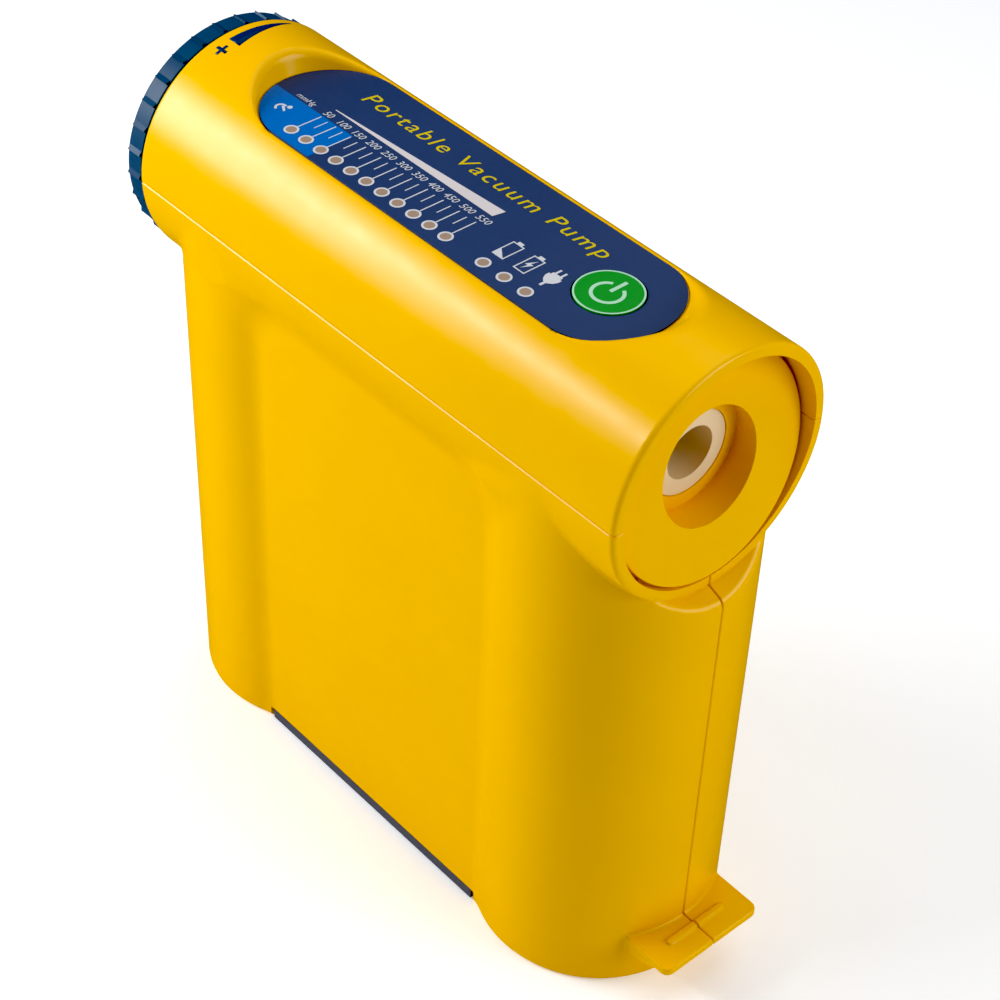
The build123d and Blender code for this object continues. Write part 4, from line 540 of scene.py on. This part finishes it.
def moulded(name, colour, roughness, grain=0.45, depth=0.012, spread=0.05, gloss=0.3, wear=0.0):
    """Moulded plastic or rubber: a fine spark-eroded grain in mm, with slight drifts of colour and gloss."""
    made, nodes, links, shader, place = new_material(name)
    drift = noise(nodes, links, place, DRIFT_SCALE, 3.0)
    light = tuple(min(c * (1 + spread), 1.0) for c in colour)
    dark = tuple(c * (1 - spread) for c in colour)
    colour_out = tinted(nodes, links, mapped(nodes, links, drift, 0.0, 1.0), dark, light)
    if wear:
        # Corners that hands and tables rub are a little paler.
        geometry = nodes.new("ShaderNodeNewGeometry")
        edge = nodes.new("ShaderNodeMapRange")
        edge.inputs["From Min"].default_value = UNWORN
        edge.inputs["From Max"].default_value = WORN
        edge.inputs["To Max"].default_value = wear
        links.new(geometry.outputs["Pointiness"], edge.inputs["Value"])
        worn = nodes.new("ShaderNodeMix")
        worn.data_type = "RGBA"
        worn.inputs["B"].default_value = (*(min(c * WORN_GAIN + WORN_LIFT, 1.0) for c in colour), 1)
        links.new(edge.outputs["Result"], worn.inputs["Factor"])
        links.new(colour_out, worn.inputs["A"])
        colour_out = worn.outputs["Result"]
    links.new(colour_out, shader.inputs["Base Color"])
    patches = noise(nodes, links, place, PATCH_SCALE, 3.0)
    roughness_out = mapped(nodes, links, patches, roughness - PATCH_ROUGHNESS, roughness + PATCH_ROUGHNESS)
    links.new(roughness_out, shader.inputs["Roughness"])
    bumped(nodes, links, noise(nodes, links, place, 1 / (grain * MM), 2.0), shader, depth)
    shader.inputs["Specular IOR Level"].default_value = gloss
    return made


def metal(name, colour, roughness, stretch=(1, 1, 1), grain=0.3, depth=0.006):
    """Metal with fine marks, drawn out along an axis where it is turned or brushed."""
    made, nodes, links, shader, place = new_material(name)
    shader.inputs["Metallic"].default_value = 1.0
    mapping = nodes.new("ShaderNodeMapping")
    mapping.inputs["Scale"].default_value = stretch
    links.new(place, mapping.inputs["Vector"])
    marks = noise(nodes, links, mapping.outputs["Vector"], 1 / (grain * MM), 4.0)
    dark = tuple(c * METAL_DARK for c in colour)
    colour_out = tinted(nodes, links, mapped(nodes, links, marks, 0.0, 1.0), dark, colour)
    links.new(colour_out, shader.inputs["Base Color"])
    smears = noise(nodes, links, place, SMEAR_SCALE, 3.0)
    roughness_out = mapped(nodes, links, smears, roughness - SMEAR_SMOOTHER, roughness + SMEAR_ROUGHER)
    links.new(roughness_out, shader.inputs["Roughness"])
    bumped(nodes, links, marks, shader, depth)
    return made


def circuit_board(name, colour):
    """Solder resist over copper: paler tracks run between darker gaps."""
    made, nodes, links, shader, place = new_material(name)
    tracks = nodes.new("ShaderNodeTexBrick")
    tracks.inputs["Scale"].default_value = TRACK_SCALE
    tracks.inputs["Color1"].default_value = (*colour, 1)
    tracks.inputs["Color2"].default_value = (*(c * TRACK_GAIN for c in colour), 1)
    tracks.inputs["Mortar"].default_value = (*(c * GAP_GAIN for c in colour), 1)
    tracks.inputs["Mortar Size"].default_value = GAP_SIZE
    links.new(place, tracks.inputs["Vector"])
    links.new(tracks.outputs["Color"], shader.inputs["Base Color"])
    dust = noise(nodes, links, place, DUST_SCALE)
    links.new(mapped(nodes, links, dust, 0.25, 0.4), shader.inputs["Roughness"])
    bumped(nodes, links, tracks.outputs["Fac"], shader, 0.03)
    return made


def silicone(name, colour):
    """Milky tube: light spreads inside it."""
    made = moulded(name, colour, 0.42, grain=0.8, depth=0.01)
    shader = made.node_tree.nodes["Principled BSDF"]
    shader.inputs["Subsurface Weight"].default_value = 0.4
    shader.inputs["Subsurface Scale"].default_value = 0.002
    return made


YELLOW = (0.88, 0.488, 0.0)
# One finish for each material slot of the record: colour, then roughness.
finishes = {
    "yellow_shell": moulded(
        "yellow_shell", YELLOW, 0.31, grain=0.42, depth=0.009, spread=0.015, gloss=0.42, wear=0.3
    ),
    "navy_knob": moulded("navy_knob", (0.030, 0.078, 0.155), 0.42, grain=0.4, depth=0.012, gloss=0.2),
    "navy_label": moulded("navy_label", (0.045, 0.068, 0.155), 0.40, grain=0.3, depth=0.008, spread=0.04),
    "green_button": moulded("green_button", (0.03, 0.29, 0.04), 0.40, grain=0.3, depth=0.008),
    "tan_lens": moulded("tan_lens", (0.36, 0.26, 0.20), 0.30, grain=0.5, depth=0.01),
    "cream_seal": moulded("cream_seal", (0.78, 0.62, 0.40), 0.55, grain=0.5, depth=0.015),
    "slate_door": moulded("slate_door", (0.112, 0.114, 0.145), 0.45, grain=0.4, depth=0.014),
    "white_plastic": moulded("white_plastic", (0.72, 0.72, 0.69), 0.42),
    "black_plastic": moulded("black_plastic", (0.022, 0.022, 0.026), 0.45, depth=0.02),
    "black_rubber": moulded("black_rubber", (0.018, 0.018, 0.018), 0.7, grain=0.3, depth=0.02),
    "clear_hose": silicone("clear_hose", (0.68, 0.69, 0.66)),
    "zinc_screw": metal("zinc_screw", (0.62, 0.62, 0.60), 0.32),
    "zinc_plate": metal("zinc_plate", (0.60, 0.60, 0.58), 0.40, grain=0.8),
    "spring_steel": metal("spring_steel", (0.52, 0.52, 0.53), 0.24, stretch=(6, 1, 1)),
    "rotor_iron": metal(
        "rotor_iron", (0.33, 0.29, 0.26), 0.45, stretch=(8, 0.4, 0.4), grain=0.6, depth=0.03
    ),
    "brass": metal("brass", (0.78, 0.56, 0.24), 0.26, stretch=(8, 1, 1)),
    "cast_alloy": metal("cast_alloy", (0.60, 0.60, 0.61), 0.5, grain=0.5, depth=0.03),
    "green_board": circuit_board("green_board", (0.01, 0.16, 0.05)),
    "battery_can": metal("battery_can", (0.66, 0.66, 0.68), 0.25, stretch=(1, 6, 6)),
    "battery_sleeve": moulded("battery_sleeve", (0.02, 0.12, 0.42), 0.28, grain=2.0, depth=0.02),
    "red_wire": moulded("red_wire", (0.45, 0.02, 0.02), 0.45),
}
for part in frame["record"]["subparts"]:
    node = frame["nodes"][part["node"]]
    node.data.materials.clear()
    node.data.materials.append(finishes[part["material_slot"]])
for piece in (cover, *housings):
    piece.data.materials.append(finishes["yellow_shell"])


# ---------------------------------------------------------------- prints on the panel and the barrel

inks = {
    "pale": moulded("pale_ink", (0.60, 0.62, 0.66), 0.45, grain=0.3, depth=0.006, spread=0.03),
    "yellow": moulded("yellow_ink", (0.62, 0.50, 0.03), 0.45, grain=0.3, depth=0.006, spread=0.03),
    "bar": moulded("bar_ink", (0.64, 0.60, 0.62), 0.45, grain=0.3, depth=0.006, spread=0.03),
    "blue": moulded("blue_ink", (0.03, 0.155, 0.49), 0.40, grain=0.3, depth=0.008, spread=0.03),
    "mint": moulded("mint_ink", (0.42, 0.70, 0.52), 0.45, grain=0.3, depth=0.006, spread=0.03),
    "navy": moulded("navy_ink", (0.010, 0.045, 0.13), 0.42, grain=0.3, depth=0.008, spread=0.03),
}

# The height of a capital letter, as a share of the built-in font's size, and the slant of the lettering.
CAPITAL_HEIGHT = 0.69
SLANT = 0.18
INK_LOW, INK_HIGH = LABEL_TOP - INK, LABEL_TOP + 2 * INK


def prism(mesh, outline, low, high):
    """A thin plate of the outline's shape, given anticlockwise."""
    bottom = [mesh.verts.new((x * MM, y * MM, low * MM)) for x, y in outline]
    top = [mesh.verts.new((x * MM, y * MM, high * MM)) for x, y in outline]
    mesh.faces.new(bottom[::-1])
    mesh.faces.new(top)
    for i in range(len(outline)):
        j = (i + 1) % len(outline)
        mesh.faces.new((bottom[i], bottom[j], top[j], top[i]))


def block(mesh, x0, x1, y0, y1, low, high):
    """A thin rectangular plate."""
    prism(mesh, ((x0, y0), (x1, y0), (x1, y1), (x0, y1)), low, high)


def strip_faces(mesh, rows, whole=False):
    """Joins rows of four points into a solid strip, which closes on itself when it is whole."""
    for i in range(len(rows) if whole else len(rows) - 1):
        a, b = rows[i], rows[(i + 1) % len(rows)]
        for k in range(4):
            m = (k + 1) % 4
            mesh.faces.new((a[k], a[m], b[m], b[k]))
    if not whole:
        mesh.faces.new(rows[0][::-1])
        mesh.faces.new(rows[-1])


def ring(mesh, x, y, inner, outer, low, high, start=0.0, turn=360.0, steps=48):
    """A flat ring, or part of one, from an angle through a turn, in degrees."""
    whole = turn >= 360
    rows = []
    for i in range(steps if whole else steps + 1):
        angle = math.radians(start + turn * i / steps)
        c, s = math.cos(angle), math.sin(angle)
        rows.append([
            mesh.verts.new(((x + r * c) * MM, (y + r * s) * MM, h * MM))
            for r, h in ((inner, low), (outer, low), (outer, high), (inner, high))
        ])
    strip_faces(mesh, rows, whole)


def disc(mesh, x, y, radius, low, high, steps=32):
    """A thin round plate."""
    angles = [2 * math.pi * i / steps for i in range(steps)]
    prism(mesh, [(x + radius * math.cos(a), y + radius * math.sin(a)) for a in angles], low, high)


def printed(name, ink, body, draw):
    """A piece of ink: draw adds its plates to a mesh."""
    mesh = bmesh.new()
    draw(mesh)
    bmesh.ops.recalc_face_normals(mesh, faces=mesh.faces)
    data = bpy.data.meshes.new(name)
    mesh.to_mesh(data)
    mesh.free()
    data.materials.append(inks[ink])
    piece = bpy.data.objects.new(name, data)
    bpy.context.collection.objects.link(piece)
    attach(piece, body)


def lettering(name, words, x, y, height, ink, align="CENTER", spacing=1.0, width=None):
    """Slanted generic lettering on the panel, of that capital height, with its baseline at y."""
    curve = bpy.data.curves.new(name, "FONT")
    curve.body = words
    curve.size = 1.0
    curve.shear = SLANT
    curve.space_character = spacing
    curve.align_x = align
    curve.resolution_u = 3
    holder = bpy.data.objects.new(name, curve)
    bpy.context.collection.objects.link(holder)
    bpy.context.view_layer.update()
    data = bpy.data.meshes.new_from_object(holder.evaluated_get(bpy.context.evaluated_depsgraph_get()))
    bpy.data.objects.remove(holder)
    points = np.empty(len(data.vertices) * 3)
    data.vertices.foreach_get("co", points)
    points = points.reshape(-1, 3)
    size = height / CAPITAL_HEIGHT
    wide = size if width is None else width / (points[:, 0].max() - points[:, 0].min())
    points[:, 0] = (points[:, 0] * wide + x) * MM
    points[:, 1] = (points[:, 1] * size + y) * MM
    points[:, 2] = INK_HIGH * MM
    data.vertices.foreach_set("co", points.ravel())
    data.update()
    data.materials.clear()
    data.materials.append(inks[ink])
    piece = bpy.data.objects.new(name, data)
    bpy.context.collection.objects.link(piece)
    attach(piece, "case")


GAUGE_COUNT = 11
LENS_R = lens_high[1] / 2 - lens_low[1] / 2
LIGHT_Y = (lens_low[1] + lens_high[1]) / 2
GAUGE_X = lens_low[0] + LENS_R
GAUGE_PITCH = (lens_high[0] - lens_low[0] - 2 * LENS_R) / (GAUGE_COUNT - 1)
STATUS_COUNT = 3
STATUS_X = status_low[0] + LENS_R
STATUS_PITCH = (status_high[0] - status_low[0] - 2 * LENS_R) / (STATUS_COUNT - 1)
RING_R = 2.35
SCALE_Y = -5.2
NUMBER_HEIGHT, NUMBER_LIFT, NUMBER_SHIFT = 2.5, 0.7, 0.4
UNIT_HEIGHT, UNIT_LIFT, UNIT_SHIFT = 2.1, 0.9, -10.4
TITLE_WIDTH, TITLE_HEIGHT, TITLE_Y, TITLE_SHIFT = 107.0, 5.6, 9.6, -1.0
ZONE_FRONT = GAUGE_X + 2.04 * GAUGE_PITCH
ZONE_MARGIN = 0.2
LONG_TICK_HALF, SHORT_TICK_HALF = 0.2, 0.17
SHORT_TICK_FROM, SHORT_TICK_TO = 6.2, 1.0
TICK_OVERLAP, TICK_GAP = 0.1, 0.6
BAR_BACK_REACH, BAR_FRONT_REACH = 0.3, 0.6
BAR_TIP_HALF, BAR_FOOT, BAR_HEIGHT, BAR_LEAN = 0.15, -0.2, 4.2, 0.8
SYMBOL_BASE, SYMBOL_TOP = -12.0, -3.6
BATTERY_HALF, BATTERY_LINE, BATTERY_FILL = 2.3, 0.4, 3.4
TERMINAL_SHARE, TERMINAL_HEIGHT = 0.45, 1.1
PIN_OFFSET, PIN_HALF, PLUG_TOP, PIN_TOP = 1.1, 0.35, -4.9, -2.6
CORD_HALF, CORD_LOW, CORD_HIGH = 0.45, -11.9, -9.9
POWER_INNER, POWER_OUTER, POWER_DROP = 4.1, 5.2, 0.6
POWER_STROKE_HALF, POWER_STROKE_FROM, POWER_STROKE_TO = 0.6, 0.4, 6.8
FACE_GAP, FACE_RING_OUTER, FACE_RING_INNER = 0.35, 0.1, 0.65

light_xs = [GAUGE_X + i * GAUGE_PITCH for i in range(GAUGE_COUNT)]
status_xs = [STATUS_X + i * STATUS_PITCH for i in range(STATUS_COUNT)]


def draw_zone(mesh):
    """The low-vacuum zone: the part of the panel's round end below the scale."""
    half = LABEL_HALF - ZONE_MARGIN
    start = math.pi + math.asin(-SCALE_Y / half)
    steps = 24
    arc = [start + (1.5 * math.pi - start) * i / steps for i in range(steps + 1)]
    reach = LABEL_BACK_A - ZONE_MARGIN
    outline = [(LABEL_BACK_X + reach * math.cos(a), half * math.sin(a)) for a in arc]
    prism(mesh, outline + [(ZONE_FRONT, -half), (ZONE_FRONT, SCALE_Y)], LABEL_TOP - INK, LABEL_TOP + INK)


def draw_scale(mesh):
    """A long tick from each light to its number, short ones between them, and a ring round each light."""
    for x in light_xs:
        low_y, high_y = LIGHT_Y + RING_R - TICK_OVERLAP, SCALE_Y - TICK_GAP
        block(mesh, x - LONG_TICK_HALF, x + LONG_TICK_HALF, low_y, high_y, INK_LOW, INK_HIGH)
    for x in light_xs[:-1]:
        middle = x + GAUGE_PITCH / 2
        low_y, high_y = SCALE_Y - SHORT_TICK_FROM, SCALE_Y - SHORT_TICK_TO
        block(mesh, middle - SHORT_TICK_HALF, middle + SHORT_TICK_HALF, low_y, high_y, INK_LOW, INK_HIGH)
    for x in light_xs + status_xs:
        ring(mesh, x, LIGHT_Y, LENS_R, RING_R, INK_LOW, INK_HIGH)


def draw_bar(mesh):
    """The long wedge over the numbers, which grows with the vacuum."""
    back, front = light_xs[0] - BAR_BACK_REACH, light_xs[-1] + BAR_FRONT_REACH
    wedge = ((back, -BAR_TIP_HALF), (front, BAR_FOOT), (front + BAR_LEAN, BAR_HEIGHT), (back, BAR_TIP_HALF))
    prism(mesh, wedge, INK_LOW, INK_HIGH)


def battery_outline(mesh, x, y0, y1, half, line):
    """An upright battery symbol drawn as a line, with its terminal at the top."""
    for side in (-1, 1):
        block(mesh, *sorted((x + side * half, x + side * (half - line))), y0, y1, INK_LOW, INK_HIGH)
    block(mesh, x - half + line, x + half - line, y0, y0 + line, INK_LOW, INK_HIGH)
    block(mesh, x - half + line, x + half - line, y1 - line, y1, INK_LOW, INK_HIGH)
    terminal = half * TERMINAL_SHARE
    block(mesh, x - terminal, x + terminal, y1, y1 + TERMINAL_HEIGHT, INK_LOW, INK_HIGH)


def draw_status(mesh):
    """The symbols over the status lights: low battery, charging and mains plug."""
    low_x, charge_x, plug_x = status_xs
    for x in (low_x, charge_x):
        battery_outline(mesh, x, SYMBOL_BASE, SYMBOL_TOP, BATTERY_HALF, BATTERY_LINE)
    inner, base = BATTERY_HALF - BATTERY_LINE, SYMBOL_BASE + BATTERY_LINE
    charge_left = ((low_x - inner, base), (low_x + inner, base), (low_x - inner, SYMBOL_BASE + BATTERY_FILL))
    prism(mesh, charge_left, INK_LOW, INK_HIGH)
    middle = (SYMBOL_BASE + SYMBOL_TOP) / 2
    bolt = ((0.7, 2.9), (-1.2, -0.5), (-0.1, -0.5), (-0.7, -2.9), (1.2, 0.5), (0.1, 0.5))
    prism(mesh, [(charge_x + u, middle + v) for u, v in bolt], INK_LOW, INK_HIGH)
    for u in (-PIN_OFFSET, PIN_OFFSET):
        block(mesh, plug_x + u - PIN_HALF, plug_x + u + PIN_HALF, PLUG_TOP, PIN_TOP, INK_LOW, INK_HIGH)
    left_half = ((-1.9, -4.9), (-1.9, -6.0), (-2.6, -6.0), (-2.6, -7.4), (-1.9, -8.9), (-0.8, -9.9))
    plug = left_half + tuple((-u, v) for u, v in left_half[::-1])
    prism(mesh, [(plug_x + u, v) for u, v in plug], INK_LOW, INK_HIGH)
    block(mesh, plug_x - CORD_HALF, plug_x + CORD_HALF, CORD_LOW, CORD_HIGH, INK_LOW, INK_HIGH)


def draw_small_patient(mesh):
    """A dot and two strokes, for the gentle end of the scale."""
    x, y = LABEL_BACK_X - 10.6, -12.0
    disc(mesh, x + 1.8, y + 2.1, 0.85, INK_LOW, INK_HIGH)
    ring(mesh, x, y, 1.2, 2.0, INK_LOW, INK_HIGH, start=70, turn=190, steps=20)
    arm = ((x - 0.4, y + 0.6), (x + 2.3, y - 0.9), (x + 2.5, y - 0.2), (x + 0.1, y + 1.4))
    prism(mesh, arm, INK_LOW, INK_HIGH)


def draw_power(mesh):
    """The power symbol, and the pale ring round the button's face."""
    low, high = button_high[2] - INK, button_high[2] + 2 * INK
    arc_y = BUTTON_Y - POWER_DROP
    ring(mesh, BUTTON_X, arc_y, POWER_INNER, POWER_OUTER, low, high, start=118, turn=304, steps=56)
    left, right = BUTTON_X - POWER_STROKE_HALF, BUTTON_X + POWER_STROKE_HALF
    block(mesh, left, right, BUTTON_Y + POWER_STROKE_FROM, BUTTON_Y + POWER_STROKE_TO, low, high)
    button_r = (button_high[0] - button_low[0]) / 2
    face_r = min(button_r, BUTTON_HOLE_R - FACE_GAP)
    ring(mesh, BUTTON_X, BUTTON_Y, face_r - FACE_RING_INNER, face_r - FACE_RING_OUTER, low, high, steps=96)


printed("panel_zone", "blue", "case", draw_zone)
printed("panel_scale", "pale", "case", draw_scale)
printed("panel_bar", "bar", "case", draw_bar)
printed("panel_status", "pale", "case", draw_status)
printed("panel_patient", "pale", "case", draw_small_patient)
printed("power_symbol", "mint", "button", draw_power)
for i, x in enumerate(light_xs):
    reading = str(50 * (i + 1))
    number_x, number_y = x + NUMBER_SHIFT, SCALE_Y + NUMBER_LIFT
    lettering(f"scale_number_{i + 1}", reading, number_x, number_y, NUMBER_HEIGHT, "pale")
lettering("scale_unit", "mmHg", light_xs[0] + UNIT_SHIFT, SCALE_Y + UNIT_LIFT, UNIT_HEIGHT, "pale")
lettering(
    "panel_title", "Portable Vacuum Pump", light_xs[0] + TITLE_SHIFT, TITLE_Y, TITLE_HEIGHT, "yellow",
    align="LEFT", spacing=1.2, width=TITLE_WIDTH,
)


def wrapped(name, ink, strips):
    """Ink on the barrel, in strips of (angle from the top towards +Y, x from, x to), in degrees and mm."""
    inner, outer = BARREL_R - 3 * INK, BARREL_R
    mesh = bmesh.new()
    for strip in strips:
        rows = []
        for angle, x0, x1 in strip:
            a = math.radians(angle)
            rows.append([
                mesh.verts.new((x * MM, r * math.sin(a) * MM, (AXIS_Z + r * math.cos(a)) * MM))
                for x, r in ((x0, inner), (x1, inner), (x1, outer), (x0, outer))
            ])
        strip_faces(mesh, rows)
    bmesh.ops.recalc_face_normals(mesh, faces=mesh.faces)
    data = bpy.data.meshes.new(name)
    mesh.to_mesh(data)
    mesh.free()
    data.materials.append(inks[ink])
    data.shade_smooth()
    piece = bpy.data.objects.new(name, data)
    bpy.context.collection.objects.link(piece)
    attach(piece, "case")


# The wedge and the plus beside the knob, which show the way to more vacuum.
WEDGE_BACK = BARREL_BACK + 3.9
WEDGE_WIDE, WEDGE_NARROW = 5.4, 0.5
WEDGE_FROM, WEDGE_TO = -10.0, 24.0
PLUS_X, PLUS_ANGLE, PLUS_ARM, PLUS_HALF = BARREL_BACK + 6.3, -16.6, 2.3, 0.6
WEDGE_STEPS, PLUS_STEPS = 20, 6
wedge = []
for i in range(WEDGE_STEPS + 1):
    t = i / WEDGE_STEPS
    width = WEDGE_WIDE + (WEDGE_NARROW - WEDGE_WIDE) * t
    wedge.append((WEDGE_FROM + (WEDGE_TO - WEDGE_FROM) * t, WEDGE_BACK, WEDGE_BACK + width))
arm, half = math.degrees(PLUS_ARM / BARREL_R), math.degrees(PLUS_HALF / BARREL_R)
upright = [
    (PLUS_ANGLE - arm + 2 * arm * i / PLUS_STEPS, PLUS_X - PLUS_HALF, PLUS_X + PLUS_HALF)
    for i in range(PLUS_STEPS + 1)
]
level = [(PLUS_ANGLE + s * half, PLUS_X - PLUS_ARM, PLUS_X + PLUS_ARM) for s in (-1, 1)]
wrapped("flow_wedge", "navy", [wedge])
wrapped("flow_plus", "navy", [upright, level])


# ---------------------------------------------------------------- floor, lights and camera

# The floor's half width in metres, its paper with a slight glow of its own, and the world's light.
REACH = 3.0
FLOOR_COLOUR, FLOOR_ROUGHNESS, FLOOR_GLOW = (0.90, 0.93, 0.97, 1), 0.75, 0.24
WORLD_LIGHT = 0.12
# This much light comes out black, for a crisp contrast.
BLACK_LEVEL = 0.05

floor_mesh = bpy.data.meshes.new("floor")
corners = [(-REACH, -REACH, 0), (REACH, -REACH, 0), (REACH, REACH, 0), (-REACH, REACH, 0)]
floor_mesh.from_pydata(corners, [], [(0, 1, 2, 3)])
floor = bpy.data.objects.new("floor", floor_mesh)
bpy.context.collection.objects.link(floor)
pale, _, _, floor_shader, _ = new_material("floor_paper")
floor_shader.inputs["Base Color"].default_value = FLOOR_COLOUR
floor_shader.inputs["Roughness"].default_value = FLOOR_ROUGHNESS
floor_shader.inputs["Emission Color"].default_value = (1, 1, 1, 1)
floor_shader.inputs["Emission Strength"].default_value = FLOOR_GLOW
floor_mesh.materials.append(pale)
floor.visible_glossy = False

scene = bpy.context.scene
scene.view_settings.view_transform = "Standard"
scene.view_settings.use_curve_mapping = True
scene.view_settings.curve_mapping.black_level = (BLACK_LEVEL,) * 3
world = bpy.data.worlds.new("studio")
scene.world = world
world.use_nodes = True
world.node_tree.nodes["Background"].inputs["Color"].default_value = (1, 1, 1, 1)
world.node_tree.nodes["Background"].inputs["Strength"].default_value = WORLD_LIGHT

middle = Vector((cad_low + cad_high) / 2)


def softbox(name, direction, distance, width, height, power, level=False):
    """A rectangular light that faces the object's middle, in metres and watts; a level one lies along X."""
    data = bpy.data.lights.new(name, "AREA")
    data.shape = "RECTANGLE"
    data.size, data.size_y = width, height
    data.energy = power
    lamp = bpy.data.objects.new(name, data)
    towards = Vector(direction).normalized()
    lamp.location = middle + towards * distance
    facing = Vector((0, towards.y, towards.z)).normalized() if level else towards
    across = facing.cross(Vector((1, 0, 0))).normalized()
    lamp.rotation_euler = Matrix((across.cross(facing), across, facing)).transposed().to_euler()
    bpy.context.collection.objects.link(lamp)


softbox("key", (-0.77, -0.54, 0.40), distance=1.1, width=0.5, height=0.5, power=8.3)
softbox("strip", (-0.48, -0.64, 0.55), distance=1.1, width=0.6, height=0.08, power=3.7, level=True)
softbox("top", (-0.1, 0.3, 1.0), distance=1.2, width=1.2, height=1.2, power=6.8)
softbox("fill", (0.9, 0.4, 0.45), distance=1.4, width=0.8, height=0.8, power=9.5)

CAMERA_LENS, CAMERA_SENSOR = 85.06, 36.0
CAMERA_PLACE = (0.4197, -0.3770, 0.6164)
CAMERA_TURN = (48.91, -1.88, 48.72)

camera_data = bpy.data.cameras.new("camera")
camera_data.lens = CAMERA_LENS
camera_data.sensor_width = CAMERA_SENSOR
camera = bpy.data.objects.new("camera", camera_data)
camera.location = CAMERA_PLACE
camera.rotation_euler = [math.radians(a) for a in CAMERA_TURN]
bpy.context.collection.objects.link(camera)
scene.camera = camera

bpy.context.view_layer.update()
